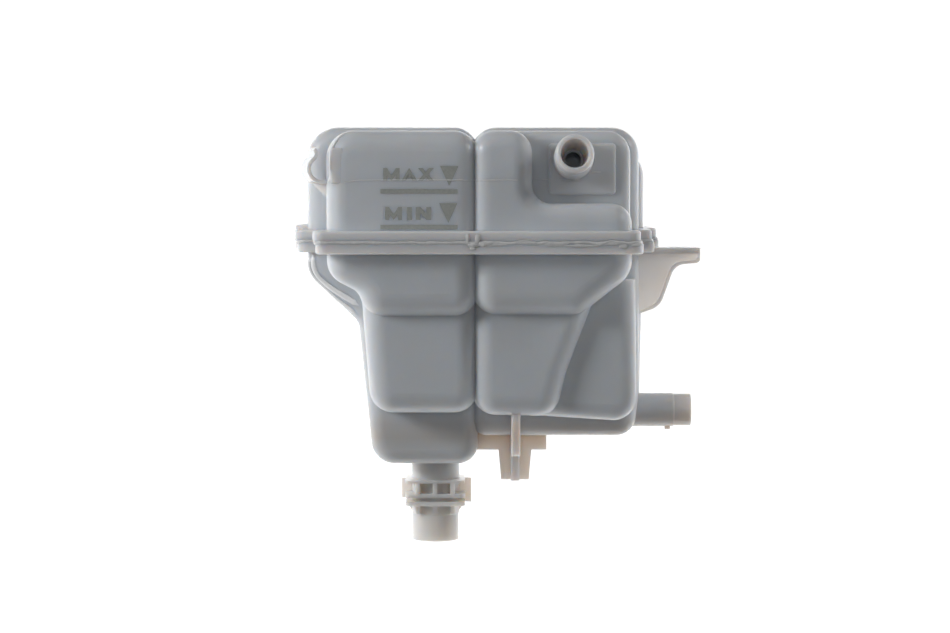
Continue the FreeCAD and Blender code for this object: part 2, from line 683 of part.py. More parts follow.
def arc(centre, radius, start, end):
    """An arc in the side view plane between two directions."""
    middle = polar(centre, radius, (start + end) / 2)
    return Part.Arc(polar(centre, radius, start), middle, polar(centre, radius, end)).toShape()


def hook_shape():
    """The bent strip: a foot inside the wall, a bend of most of a half turn and a lip that flares out."""
    half = value("hook_strip") / 2
    radius = value("hook_radius")
    lip = value("hook_lip")
    opening = value("hook_open")
    bend = Vector(value("hook_across"), value("hook_near"), value("hook_up"))
    lip_centre = polar(bend, radius + lip, opening)
    lip_start = opening - 180
    lip_end = lip_start + value("hook_lip_sweep")
    foot_outer = Vector(value("front_left") + radius, bend.y, bend.z - radius - half)
    foot_inner = Vector(foot_outer.x, bend.y, bend.z - radius + half)
    outer_bend = arc(bend, radius + half, 270, opening)
    outer_lip = arc(lip_centre, lip - half, lip_start, lip_end)
    inner_lip = arc(lip_centre, lip + half, lip_end, lip_start)
    inner_bend = arc(bend, radius - half, opening, 270)
    outer_tip = polar(lip_centre, lip - half, lip_end)
    inner_tip = polar(lip_centre, lip + half, lip_end)
    edges = [
        Part.LineSegment(foot_outer, polar(bend, radius + half, 270)).toShape(),
        outer_bend,
        outer_lip,
        Part.LineSegment(outer_tip, inner_tip).toShape(),
        inner_lip,
        inner_bend,
        Part.LineSegment(polar(bend, radius - half, 270), foot_inner).toShape(),
        Part.LineSegment(foot_inner, foot_outer).toShape(),
    ]
    strip = Part.Face(Part.Wire(edges)).extrude(Vector(0, value("hook_depth"), 0))
    return strip


hook = doc.addObject("Part::Feature", "hook")
hook.Shape = hook_shape()
hook.Placement = FreeCAD.Placement(
    Vector(0, 0, 0),
    FreeCAD.Rotation(Vector(0, 0, 1), value("hook_turn")),
    Vector(value("front_left"), value("hook_near"), 0),
)
hook_gusset = doc.addObject("PartDesign::Body", "hook_gusset")
pad_outline(
    hook_gusset, "gusset", "XZ_Plane",
    [("front_left - hook_radius - hook_strip", "hook_up - hook_radius"),
     ("front_left + wall", "hook_up - hook_radius"),
     ("front_left + wall", "hook_up - hook_radius - hook_gusset"),
     ("front_left", "hook_up - hook_radius - hook_gusset")],
    "-(hook_near + hook_strip * 3)", "hook_strip",
)

hook_pad = chamber(
    "hook_pad",
    [("front_left + wall", "hook_up - hook_radius - hook_strip / 2", ""),
     ("front_left + hook_pad_width", "hook_up - hook_radius - hook_strip / 2", ""),
     ("front_left + hook_pad_width", "hook_up + soft_rim", "wall / 2"),
     ("front_left + wall", "hook_up + soft_rim", "wall / 2")],
    "front_face + 0.4", "front_face + merge", [("front_face + 0.4", "wall / 3")],
)

# Filler neck on the lowered deck at the back
UP = Vector(0, 0, 1)
neck_foot = ("neck_across", "neck_depth", "deck - wall")
neck = rod("neck", "neck_radius", "neck_lip - deck + wall", neck_foot, UP)
neck_start = ("neck_across", "neck_depth", "deck - 3 * wall")
neck_hole = rod("neck_hole", "neck_bore", "neck_lip - deck + 4 * wall", neck_start, UP)

# Raised pad on the recess's floor
recess_pad = chamber(
    "recess_pad",
    [("pad_left", "pad_bottom", "wall"), ("pad_right", "pad_bottom", "wall"),
     ("pad_right", "pad_top", "wall"), ("pad_left", "pad_top", "wall")],
    "recess_floor - pad_height", "recess_floor + 1", [("recess_floor - pad_height", "pad_height * 0.9")],
)


def flow_holes(name, across_spots, depth_spots):
    """Round holes through the inner walls: across_spots join left and right, depth_spots front and back."""
    holes = []
    reach = "4 * (lap + wall)"
    for k, (depth, up) in enumerate(across_spots):
        base = ("middle - 2 * (lap + wall)", depth, up)
        holes.append(rod("%s_across_%d" % (name, k), "flow_hole / 2", reach, base, Vector(1, 0, 0)))
    for k, (across, groove, up) in enumerate(depth_spots):
        base = (across, groove + " - 2 * (lap + wall)", up)
        holes.append(rod("%s_depth_%d" % (name, k), "flow_hole / 2", reach, base, Vector(0, 1, 0)))
    return holes


left_way = "(front_left + middle) / 2"
right_way = "(front_right + middle) / 2 + flow_hole"
mid_way = "(row_one + row_two) / 2"
back_way = "(row_two + heel_face) / 2"
upper_holes = flow_holes(
    "upper_flow",
    [("recess_floor + wall / 2", "flow_upper"), (mid_way, "flow_upper"), (back_way, "flow_deck")],
    [(left_way, "row_one", "flow_upper"), (right_way, "row_one", "flow_upper"),
     (left_way, "row_two", "flow_deck"), (right_way, "row_two", "flow_upper")],
)
lower_holes = flow_holes(
    "lower_flow",
    [("(valley_face + row_one) / 2", "flow_belly"), (mid_way, "flow_belly"), (back_way, "flow_belly"),
     ("(valley_face + row_one) / 2", "flow_foot"), (mid_way, "flow_foot"), (back_way, "flow_foot")],
    [(left_way, "row_one", "flow_belly"), (right_way, "row_one", "flow_belly"),
     (left_way, "row_two", "flow_belly"), (right_way, "row_two", "flow_belly"),
     (left_way, "row_one", "flow_foot"), (right_way, "row_one", "flow_foot"),
     (left_way, "row_two", "flow_foot"), (right_way, "row_two", "flow_foot")],
)

upper_outer = cut("upper_trimmed", join("upper_forms", upper_chambers + [upper_flange, upper_grip]), cellar)
upper_solid = join("upper_solid", [upper_outer, spout, hook, hook_gusset, hook_pad, neck, recess_pad])
upper_rooms = [inside(body) for body in upper_chambers]
upper_void = join("upper_void", upper_rooms + [spout_bore, neck_hole] + upper_holes)
upper_shell = cut("upper_shell", upper_solid, upper_void)

# Outlet spigot: a pipe with three square collars, posts between them, gussets below and a lug on each side
def collar(name, top, thickness):
    """A square collar with rounded corners round the pipe."""
    half = "collar_half"
    corners = [("-" + half, "-" + half, "collar_round"), (half, "-" + half, "collar_round"),
               (half, half, "collar_round"), ("-" + half, half, "collar_round")]
    return plate(name, corners, "%s - %s" % (top, thickness), top)


outlet = turned(
    "outlet_pipe",
    [("0 * wall", "0 * wall"), ("outlet_radius", "0 * wall"), ("outlet_radius", "outlet_seat"),
     ("outlet_radius + hose_stop", "outlet_seat + 2 * hose_stop"),
     ("outlet_radius + hose_stop", "sump_bottom + wall"), ("0 * wall", "sump_bottom + wall")],
    "0 * wall", "0 * wall",
)
outlet_start = ("0 * wall", "0 * wall", "-wall")
outlet_hole = rod("outlet_hole", "outlet_bore", "sump_bottom + 3 * wall", outlet_start, UP)
collars = [
    collar("collar_upper", "collar_top", "collar_thin"),
    collar("collar_lower", "collar_low", "collar_thick"),
    collar("collar_end", "collar_last", "collar_thick"),
]
posts = []
for k in (-1, 0, 1):
    name = ("left", "middle", "right")[k + 1]
    middle_line = "post_pitch * %d" % k
    posts.append(box("post_" + name, middle_line + " - post_width / 2", middle_line + " + post_width / 2",
                     "-collar_half", "collar_half", "collar_low - collar_thick / 2", "collar_top - collar_thin / 2"))


def gusset(name, half_width, axis_role, offset):
    """A pair of gussets that slope from the last collar to the pipe, as one tapered web."""
    body = doc.addObject("PartDesign::Body", name)
    pad_outline(
        body, name, axis_role,
        [("-collar_half", "collar_last - collar_thick / 2"), ("-outlet_radius + 0.2", "gusset_foot"),
         ("outlet_radius - 0.2", "gusset_foot"), ("collar_half", "collar_last - collar_thick / 2")],
        offset, half_width + " * 2",
    )
    return body


gussets = [gusset("gusset_sides", "post_width / 2", "XZ_Plane", "-post_width / 2")]
for k in (-1, 0, 1):
    name = ("left", "middle", "right")[k + 1]
    gussets.append(gusset("gusset_" + name, "post_width / 2", "YZ_Plane", "post_pitch * %d - post_width / 2" % k))
lugs = [
    box("lug_left_plate", "-lug_left", "-outlet_bore - wall / 2", "-lug_thick / 2", "lug_thick / 2",
        "lug_left_foot", "collar_top"),
    box("lug_right_plate", "outlet_bore + wall / 2", "lug_right", "-lug_thick / 2", "lug_thick / 2",
        "lug_right_foot", "collar_top"),
]

# Side stub with a slimmer end and a nub below it
RIGHT = Vector(1, 0, 0)
stub_end_radius = "stub_radius - stub_step_drop"
stub_inner = "stub_end - waist_right + wall"
stub = turned(
    "stub",
    [("0 * wall", "0 * wall"), (stub_end_radius, "0 * wall"), (stub_end_radius, "stub_seat"),
     ("stub_radius", "stub_seat + 2 * stub_step_drop"), ("stub_radius", stub_inner),
     ("0 * wall", stub_inner)],
    "stub_end", "stub_depth",
)
stub.Placement = FreeCAD.Placement(Vector(0, 0, 0), FreeCAD.Rotation(Vector(0, 1, 0), -90))
set_size(stub, ".Placement.Base.z", "stub_up")
stub_start = ("waist_right - 5 * wall", "stub_depth", "stub_up")
stub_hole = rod("stub_hole", "stub_bore", "stub_end - waist_right + 6 * wall", stub_start, RIGHT)
nub = box(
    "stub_nub_block", "stub_end - stub_seat - stub_nub - 2", "stub_end - stub_seat - 2",
    "stub_depth - stub_nub / 2", "stub_depth + stub_nub / 2",
    "stub_up - stub_radius - stub_nub / 2", "stub_up - stub_radius + wall / 2",
)

# Cross-shaped locating peg that hangs from the underside and sits in a rubber grommet
def peg_web(name, role, middle_line, plane_line, thickness, shoulder_low, shoulder_high, root):
    """One web of the cross: a wide shoulder above, tapering to the peg's end."""
    body = doc.addObject("PartDesign::Body", name)
    pad_outline(
        body, name, role,
        [("%s - peg_end_half" % middle_line, "peg_end"), ("%s + peg_end_half" % middle_line, "peg_end"),
         ("%s + peg_top_half" % middle_line, "peg_step"), (shoulder_high, "peg_step"), (shoulder_high, root),
         (shoulder_low, root), (shoulder_low, "peg_step"), ("%s - peg_top_half" % middle_line, "peg_step")],
        "(%s) - (%s) / 2" % (plane_line, thickness), thickness,
    )
    return body


peg = [
    peg_web("peg_cross", "XZ_Plane", "peg_across", "-(peg_depth)", "peg_web",
            "peg_across - shoulder_half - 3", "peg_across + shoulder_half - 1", "keel_bottom + wall / 2"),
    peg_web("peg_long", "YZ_Plane", "peg_depth", "peg_across", "peg_rib",
            "shoulder_front", "peg_depth + shoulder_half", "keel_bottom + wall / 2"),
]
peg.append(box("peg_stem", "peg_across - peg_rib / 2", "peg_across + peg_rib / 2", "shoulder_front", "row_one + wall",
               "peg_step", "waist_bottom + wall / 2"))

# Bracket: a plate with a screw hole, carried by two webs with an S-shaped underside and a thin rim
def bracket_outline(inset):
    """Side view corners of a web, drawn in by inset along the underside."""
    root = "mid_right - wall / 2"
    tip = "bracket_tip - %s" % inset
    return [
        (root, "bracket_top", ""),
        (tip, "bracket_top", ""),
        (tip, "bracket_top - 8 + %s" % inset, "wall"),
        ("bracket_tip - 13.5 - %s" % inset, "bracket_top - 9.2 + %s" % inset, "rim"),
        ("bracket_tip - 21.5 - %s" % inset, "bracket_foot + 1 + %s" % inset, "rim + 2"),
        (root, "bracket_foot - 4 + %s" % inset, ""),
    ]


def bracket_web(name, near_face, far_face, inset):
    """A web of the bracket between two depths."""
    corners = bracket_outline(inset)
    body = doc.addObject("PartDesign::Body", name)
    last = pad_outline(body, name, "XZ_Plane", [(c[0], c[1]) for c in corners], "-(%s)" % far_face,
                       "(%s) - (%s)" % (far_face, near_face))
    round_corners(body, last, name, corners, Vector(0, 1, 0), lambda p: (p.x, p.z))
    return body


bracket_block = bracket_web("bracket_block", "bracket_near", "bracket_far", "0 * wall")
bracket_inner = bracket_web("bracket_inner", "bracket_near + bracket_web", "bracket_far - bracket_web", "0 * wall")
bracket_front = bracket_web("bracket_front", "bracket_near - 1", "bracket_near + bracket_rim", "bracket_rim")
bracket_webs = cut("bracket_webs", cut("bracket_sides", bracket_block, bracket_inner), bracket_front)
bracket_top_plate = box("bracket_top_plate", "mid_right - wall / 2", "bracket_tip", "bracket_near", "bracket_far",
                        "bracket_top - bracket_plate", "bracket_top")
bracket_boss = rod("bracket_boss_body", "bracket_boss", "bracket_boss_height",
                   ("bracket_hole_across", "bracket_hole_depth", "bracket_top - bracket_boss_height"), Vector(0, 0, 1))
bracket_drill = rod("bracket_drill", "bracket_hole", "bracket_boss_height + 2 * wall",
                    ("bracket_hole_across", "bracket_hole_depth", "bracket_top - bracket_boss_height - wall"),
                    Vector(0, 0, 1))

lower_outer = cut("lower_trimmed", join("lower_forms", lower_chambers + [lower_flange, lower_grip]), room)
lower_solid = join(
    "lower_solid",
    [lower_outer, outlet, stub, nub, bracket_webs, bracket_top_plate, bracket_boss]
    + collars + posts + gussets + lugs + peg,
)
lower_void = join(
    "lower_void",
    [inside(body) for body in lower_chambers] + [outlet_hole, stub_hole, bracket_drill] + lower_holes,
)
lower_shell = cut("lower_shell", lower_solid, lower_void)


def at_neck(name, profile):
    """A piece of the cap turned about the filler neck's axis."""
    return turned(name, profile, "neck_across", "neck_depth")


# Valve unit: the cap's inner body, which plugs the neck, carries the sealing ring and holds the valves
unit_outside = "neck_bore - fit"
unit_inside = unit_outside + " - unit_wall"
unit_seat = "unit_bottom + unit_wall / 2"
ring_line = "neck_bore - fit / 3 - ring_section"
groove_floor = ring_line + " - ring_section - fit / 6"
groove_half = "ring_section + fit / 2"
unit_top = "cap_top - cap_wall"
step_up = "neck_lip + 3 * unit_flange / 2"
valve_body = at_neck("valve_body", [
    ("port_radius", "unit_bottom"),
    (unit_outside + " - 1", "unit_bottom"),
    (unit_outside, "unit_bottom + 1"),
    (unit_outside, "ring_up - (%s)" % groove_half),
    (groove_floor, "ring_up - (%s)" % groove_half),
    (groove_floor, "ring_up + %s" % groove_half),
    (unit_outside, "ring_up + %s" % groove_half),
    (unit_outside, "neck_lip"),
    ("neck_radius - fit", "neck_lip"),
    ("neck_radius - fit", "neck_lip + unit_flange"),
    (unit_outside + " - 1.2", "neck_lip + unit_flange"),
    (unit_outside + " - 1.2", "neck_lip + 2.5 * unit_flange"),
    (unit_outside + " + 0.1", "neck_lip + 2.5 * unit_flange"),
    (unit_outside + " + 0.1", "neck_lip + 3 * unit_flange"),
    (unit_outside + " - 1.2", unit_top),
    (unit_inside + " + 1.4", unit_top),
    (unit_inside + " + 1.4", step_up),
    (unit_inside, step_up),
    (unit_inside, unit_seat),
    ("port_radius + 1.2", unit_seat),
    ("port_radius + 1", unit_seat + " + seat_rise"),
    ("port_radius", unit_seat + " + seat_rise"),
])

# Sealing ring in the unit's groove, against the neck's bore
neck_ring = doc.addObject("Part::Torus", "neck_ring")
set_size(neck_ring, "Radius1", ring_line)
set_size(neck_ring, "Radius2", "ring_section")
set_size(neck_ring, ".Placement.Base.x", "neck_across")
set_size(neck_ring, ".Placement.Base.y", "neck_depth")
set_size(neck_ring, ".Placement.Base.z", "ring_up")

# Pressure plate with the ports of the vacuum valve and a rubber washer under it
washer_foot = unit_seat + " + seat_rise"
plate_foot = washer_foot + " + seal_thick"
plate_head = plate_foot + " + plate_thick"
pressure_plate = at_neck("pressure_plate", [
    ("stem_radius + stem_fit", plate_foot),
    ("plate_radius", plate_foot),
    ("plate_radius", plate_head),
    ("spring_radius - 1.6", plate_head),
    ("spring_radius - 1.6", plate_head + " - plate_thick / 4"),
    ("stem_radius + stem_fit", plate_head + " - plate_thick / 4"),
])
port_sketch = circle_sketch(pressure_plate, "port_sketch", "vacuum_port", "vacuum_port_ring", plate_head)
port_pocket = pressure_plate.newObject("PartDesign::Pocket", "port_pocket")
port_pocket.Profile = port_sketch
set_size(port_pocket, "Length", "plate_thick * 2")
doc.recompute()
ports = pressure_plate.newObject("PartDesign::PolarPattern", "ports")
ports.Originals = [port_pocket]
ports.Axis = (port_sketch, ["N_Axis"])
ports.Angle = 360
ports.Occurrences = 6
pressure_plate.Tip = ports
plate_washer = at_neck("plate_washer", [
    ("vacuum_radius + 0.6", washer_foot),
    ("plate_radius - 0.6", washer_foot),
    ("plate_radius - 0.6", plate_foot),
    ("vacuum_radius + 0.6", plate_foot),
])


def coil(name, radius, wire, bottom, top):
    """A compression spring with closed ends round the neck's axis: a ruled loft through octagons.

    The first and the last turn rise by little more than the wire, the turns between them share the rest.
    """
    turns = round(value("spring_turns"))
    closed_rise = "2.1 * (%s)" % wire
    open_rise = "((%s) - (%s) - 2 * (%s) - 2 * %s)" % (top, bottom, wire, closed_rise)
    sections = []
    for step in range(turns * COIL_STEPS + 1):
        turn = step / COIL_STEPS
        closed_share = min(turn, 1) + max(turn - turns + 1, 0)
        open_share = min(max(turn - 1, 0) / (turns - 2), 1)
        degrees = 360 * turn
        section = doc.addObject("Part::RegularPolygon", "%s_section_%d" % (name, step))
        section.Polygon = 8
        set_size(section, "Circumradius", wire)
        upright = FreeCAD.Rotation(Vector(0, 0, 1), degrees) * FreeCAD.Rotation(Vector(1, 0, 0), -90)
        section.Placement = FreeCAD.Placement(Vector(0, 0, 0), upright)
        away = upright.multVec(RIGHT)
        set_size(section, ".Placement.Base.x", "neck_across + (%s) * (%.6f)" % (radius, away.x))
        set_size(section, ".Placement.Base.y", "neck_depth + (%s) * (%.6f)" % (radius, away.y))
        set_size(section, ".Placement.Base.z", "(%s) + (%s) + %.6f * %s + %.6f * %s"
                 % (bottom, wire, closed_share, closed_rise, open_share, open_rise))
        sections.append(section)
    spring = doc.addObject("Part::Loft", name)
    spring.Sections = sections
    spring.Ruled = True
    spring.Solid = True
    doc.recompute()
    return spring


COIL_STEPS = 12
pressure_spring = coil("pressure_spring", "spring_radius", "spring_wire", plate_head, step_up)
vacuum_spring = coil("vacuum_spring", "vacuum_spring_radius", "vacuum_wire", plate_head + " - plate_thick / 4",
                     "vacuum_head_up")

# Spring retainer: a disc with vent holes, snapped on the unit's step
spring_retainer = at_neck("spring_retainer", [
    ("vacuum_head + 1", step_up),
    (unit_inside + " + 1.4 - fit / 3", step_up),
    (unit_inside + " + 1.4 - fit / 3", step_up + " + retainer_thick"),
    ("vacuum_head + 1", step_up + " + retainer_thick"),
])

# Vacuum valve: a disc under the plate's ports, its stem and the head that its spring lifts
vacuum_valve = at_neck("vacuum_valve", [
    ("0 * wall", plate_foot + " - vacuum_thick"),
    ("vacuum_radius", plate_foot + " - vacuum_thick"),
    ("vacuum_radius", plate_foot),
    ("stem_radius", plate_foot),
    ("stem_radius", "vacuum_head_up"),
    ("vacuum_head", "vacuum_head_up"),
    ("vacuum_head", "vacuum_head_up + vacuum_thick"),
    ("0 * wall", "vacuum_head_up + vacuum_thick"),
])

# Cap shell: a domed cover with grip ribs, a skirt over the neck's thread and a ring that holds the valve unit
cap_outside = "(neck_radius + thread_gap + cap_wall)"
cap_ceiling = "cap_top - cap_wall"
hold_inside = unit_outside + " + 0.1 + fit"
cap_body = at_neck("cap_body", [
    ("0 * wall", cap_ceiling),
    (hold_inside, cap_ceiling),
    (hold_inside, "neck_lip + 2.5 * unit_flange - fit"),
    (unit_outside + " - 1.2 + fit", "neck_lip + 2.5 * unit_flange - fit"),
    (unit_outside + " - 1.2 + fit", "neck_lip + 1.5 * unit_flange"),
    (hold_inside + " + 1.6", "neck_lip + 1.5 * unit_flange"),
    (hold_inside + " + 1.6", cap_ceiling),
    (cap_outside + " - cap_wall", cap_ceiling),
    (cap_outside + " - cap_wall", "cap_skirt"),
    (cap_outside, "cap_skirt"),
    (cap_outside, cap_ceiling),
    (cap_outside + " - cap_wall", "cap_top"),
    (cap_outside + " * 0.4", "cap_top"),
    (cap_outside + " * 0.36", "cap_top - cap_wall / 3"),
    ("0 * wall", "cap_top - cap_wall / 3"),
])
rib_sketch = circle_sketch(cap_body, "rib_sketch", "cap_rib", cap_outside, "cap_skirt")
rib_pad = cap_body.newObject("PartDesign::Pad", "rib_pad")
rib_pad.Profile = rib_sketch
set_size(rib_pad, "Length", "cap_top - 1.6 * cap_wall - cap_skirt")
doc.recompute()
cap_ribs = cap_body.newObject("PartDesign::PolarPattern", "cap_grip")
cap_ribs.Originals = [rib_pad]
cap_ribs.Axis = (rib_sketch, ["N_Axis"])
cap_ribs.Angle = 360
set_size(cap_ribs, "Occurrences", "cap_ribs")
cap_body.Tip = cap_ribs
doc.recompute()

PIECES = {
    "upper_shell": upper_shell,
    "lower_shell": lower_shell,
    "cap_shell": cap_body,
    "valve_body": valve_body,
    "neck_seal_ring": neck_ring,
    "pressure_plate": pressure_plate,
    "plate_washer": plate_washer,
    "pressure_spring": pressure_spring,
    "spring_retainer": spring_retainer,
    "vacuum_valve": vacuum_valve,
    "vacuum_spring": vacuum_spring,
}
doc.recompute()
for thing in doc.Objects:
    bad = "Invalid" in thing.State or "Error" in thing.State
    if bad:
        raise RuntimeError("%s could not be built: %s" % (thing.Name, thing.State))
os.makedirs("parts", exist_ok=True)
for label, piece in PIECES.items():
    piece.Label = label
    if piece.Shape.isNull() or not piece.Shape.isValid():
        raise RuntimeError("%s has no valid shape" % label)
for label, piece in PIECES.items():
    print(label, len(piece.Shape.Solids), "solid", round(piece.Shape.Volume), "mm3")
    piece.Shape.exportStep("parts/%s.step" % label)
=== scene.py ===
"""Coolant expansion tank: welded mouldings of natural polypropylene with a black screw cap at the back."""

import math

import bmesh
import bpy
import numpy as np
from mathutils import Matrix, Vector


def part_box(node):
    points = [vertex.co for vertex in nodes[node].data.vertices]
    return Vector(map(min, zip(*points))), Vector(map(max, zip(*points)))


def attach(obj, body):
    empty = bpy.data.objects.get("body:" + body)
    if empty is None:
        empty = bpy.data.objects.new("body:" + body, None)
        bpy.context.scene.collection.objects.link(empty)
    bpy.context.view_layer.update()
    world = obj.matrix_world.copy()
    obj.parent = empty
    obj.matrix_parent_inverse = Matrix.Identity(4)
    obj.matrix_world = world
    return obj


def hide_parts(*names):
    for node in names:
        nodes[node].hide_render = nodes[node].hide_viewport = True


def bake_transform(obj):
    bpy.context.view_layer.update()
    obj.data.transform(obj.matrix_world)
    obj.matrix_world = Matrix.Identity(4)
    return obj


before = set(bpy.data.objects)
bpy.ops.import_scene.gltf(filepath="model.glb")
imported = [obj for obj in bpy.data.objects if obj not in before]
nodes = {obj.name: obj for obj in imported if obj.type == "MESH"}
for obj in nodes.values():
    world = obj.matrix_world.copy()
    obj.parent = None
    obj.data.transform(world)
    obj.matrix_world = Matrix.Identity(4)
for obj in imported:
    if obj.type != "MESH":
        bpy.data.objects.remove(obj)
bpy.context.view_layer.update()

# The two mouldings: natural polypropylene, injection moulded in steel tools, cloudy, see-through where thin.
# The finish is satin, with faint flow marks and a slight waviness where thick places sank.
# Shapes are in millimetres up to where a mesh is made; the depths of a finish and the studio are in metres.
MM = 0.001
BENDING = 1.49
CLOUD_REACH = 0.008
CLOUD_BY_COLOUR = (1.0, 0.78, 0.6)
NOISE_LOW, NOISE_HIGH = 0.3, 0.7


def plain_material(name, colour, roughness):
    """A material with one surface shader; its nodes, its links and the shader come back with it."""
    material = bpy.data.materials.new(name)
    material.use_nodes = True
    tree = material.node_tree
    shader = tree.nodes["Principled BSDF"]
    shader.inputs["Base Color"].default_value = (*colour, 1)
    shader.inputs["Roughness"].default_value = roughness
    return material, tree, shader


def pattern(tree, stretch, scale, detail):
    """Noise over the piece's own coordinates, stretched by a factor along each axis."""
    place = tree.nodes.new("ShaderNodeTexCoord")
    turn = tree.nodes.new("ShaderNodeMapping")
    turn.inputs["Scale"].default_value = stretch
    noise = tree.nodes.new("ShaderNodeTexNoise")
    noise.inputs["Scale"].default_value = scale
    noise.inputs["Detail"].default_value = detail
    tree.links.new(place.outputs["Object"], turn.inputs["Vector"])
    tree.links.new(turn.outputs["Vector"], noise.inputs["Vector"])
    return noise.outputs["Fac"]


def shade_by(tree, factor, low, high, socket):
    """Colours or greys from low to high over the middle of a noise's range, led to a shader socket."""
    ramp = tree.nodes.new("ShaderNodeValToRGB")
    first, last = ramp.color_ramp.elements
    first.position, last.position = NOISE_LOW, NOISE_HIGH
    first.color, last.color = (*low, 1), (*high, 1)
    tree.links.new(factor, ramp.inputs["Fac"])
    tree.links.new(ramp.outputs["Color"], socket)


def relief(tree, shader, factor, distance, strength, under=None):
    """A bump of a given height, laid over another one where under is given."""
    bump = tree.nodes.new("ShaderNodeBump")
    bump.inputs["Distance"].default_value = distance
    bump.inputs["Strength"].default_value = strength
    tree.links.new(factor, bump.inputs["Height"])
    if under is not None:
        tree.links.new(under, bump.inputs["Normal"])
    tree.links.new(bump.outputs["Normal"], shader.inputs["Normal"])
    return bump.outputs["Normal"]


# What the plastic's colour is multiplied by at each height, in decimetres above the outlet's mouth.
# It is partly a brown tint of old coolant and partly painted light: a painted glow on the outlet and painted
# shade on the band round the sump, under the chambers above.
STAIN_AND_PAINTED_LIGHT = [
    (0.30, (1.0, 0.965, 0.92)), (0.37, (0.93, 0.91, 0.885)), (0.50, (0.89, 0.88, 0.87)),
    (0.58, (0.80, 0.75, 0.71)), (0.65, (0.82, 0.78, 0.75)), (0.72, (0.895, 0.895, 0.895)),
]
DECIMETRES = 10


def natural_plastic(name, roughness):
    """Cloudy polypropylene: light soaks in a few millimetres, and blue is lost first.

    The low end is tinted by height: a light brown of old coolant, with the outlet lightened as a painted glow
    and the band round the sump darkened as painted shade.
    """
    material, tree, shader = plain_material(name, (0.66, 0.66, 0.65), roughness)
    shader.inputs["IOR"].default_value = BENDING
    shader.inputs["Subsurface Weight"].default_value = 1.0
    shader.inputs["Subsurface Radius"].default_value = CLOUD_BY_COLOUR
    shader.inputs["Subsurface Scale"].default_value = CLOUD_REACH
    cloud = pattern(tree, (1, 1, 0.5), 28, 4)
    # Painted light by height: the ramp below lightens the outlet as a painted glow and darkens the sump's band
    # as painted shade, over a coolant tint.
    stain_and_light_mix = tree.nodes.new("ShaderNodeMix")
    stain_and_light_mix.data_type = "RGBA"
    stain_and_light_mix.blend_type = "MULTIPLY"
    stain_and_light_mix.inputs["Factor"].default_value = 1.0
    clean_colour, stain_and_light_colour, mixed_colour = stain_and_light_mix.inputs[6], stain_and_light_mix.inputs[7], stain_and_light_mix.outputs[2]
    shade_by(tree, cloud, (0.77, 0.78, 0.80), (0.835, 0.845, 0.87), clean_colour)
    place = tree.nodes.new("ShaderNodeTexCoord")
    axes = tree.nodes.new("ShaderNodeSeparateXYZ")
    height = tree.nodes.new("ShaderNodeMath")
    height.operation = "MULTIPLY"
    height.inputs[1].default_value = DECIMETRES
    stain_and_light_ramp = tree.nodes.new("ShaderNodeValToRGB")
    for position, colour in STAIN_AND_PAINTED_LIGHT:
        stop = stain_and_light_ramp.color_ramp.elements.new(position)
        stop.color = (*colour, 1)
    stain_and_light_ramp.color_ramp.elements.remove(stain_and_light_ramp.color_ramp.elements[-1])
    stain_and_light_ramp.color_ramp.elements.remove(stain_and_light_ramp.color_ramp.elements[0])
    tree.links.new(place.outputs["Object"], axes.inputs["Vector"])
    tree.links.new(axes.outputs["Z"], height.inputs[0])
    tree.links.new(height.outputs["Value"], stain_and_light_ramp.inputs["Fac"])
    tree.links.new(stain_and_light_ramp.outputs["Color"], stain_and_light_colour)
    tree.links.new(mixed_colour, shader.inputs["Base Color"])
    streaks = pattern(tree, (1, 1, 0.06), 260, 3)
    shade_by(tree, streaks, (roughness - 0.05,) * 3, (roughness + 0.07,) * 3, shader.inputs["Roughness"])
    waves = relief(tree, shader, pattern(tree, (1, 1, 0.7), 22, 1), 0.002, 0.25)
    relief(tree, shader, pattern(tree, (1, 1, 1), 2600, 2), 0.0001, 0.25, waves)
    return material


def dress(node, material):
    """Gives a CAD node its finish."""
    piece = nodes[node]
    piece.data.materials.clear()
    piece.data.materials.append(material)


tank_plastic = natural_plastic("tank_plastic", 0.34)
for half in ("upper_shell", "lower_shell"):
    dress(half, tank_plastic)

# The weld: both flanges are melted on a hot plate and pressed together, and a bead of melt squeezes out all
# round. It is the same plastic, glossier than the mouldings, and thicker where the tools pressed unevenly.
# The upper flange sits a little to the right of the lower one, and the bead halfway between the two.
FLANGE_PLAN = [
    (-62.4, -70.6, 6), (107.0, -70.6, 6), (107.0, -32, 2), (115.0, -32, 3), (115.0, 14, 2), (120.5, 14, 3),
    (120.5, 84.1, 6), (-77.0, 84.1, 6), (-77.0, 16, 1.5), (-74.2, 16, 1), (-74.2, -32, 6), (-62.4, -32, 2),
]
MISMATCH = 1.4
SEAM = 162.5
BEAD_SPACING = 1.2
BEAD_DEPTH = 0.75
BEAD_HALF_WIDTH = 0.95
BEAD_HALF_HEIGHT = 1.15


def skin(name, rings, loop=False):
    """A closed skin over rings of points: neighbours on a ring and on the next one share a quad.

    Where the rings don't run in a loop, the first and the last ring are each closed by one flat face.
    """
    count, around, _ = rings.shape
    index = np.arange(count * around).reshape(count, around)
    here = index if loop else index[:-1]
    ahead = np.roll(index, -1, axis=0) if loop else index[1:]
    quads = np.stack([here, np.roll(here, -1, 1), np.roll(ahead, -1, 1), ahead], axis=-1).reshape(-1, 4)
    faces = quads.tolist()
    if not loop:
        faces += [index[0][::-1].tolist(), index[-1].tolist()]
    mesh = bpy.data.meshes.new(name)
    mesh.from_pydata((rings.reshape(-1, 3) * MM).tolist(), [], faces)
    return finished(name, mesh, True)


def finished(name, mesh, smooth):
    """An object at the origin from a mesh, with its faces turned outwards."""
    work = bmesh.new()
    work.from_mesh(mesh)
    bmesh.ops.recalc_face_normals(work, faces=work.faces)
    work.to_mesh(mesh)
    work.free()
    mesh.polygons.foreach_set("use_smooth", np.full(len(mesh.polygons), smooth))
    piece = bpy.data.objects.new(name, mesh)
    bpy.context.collection.objects.link(piece)
    return piece


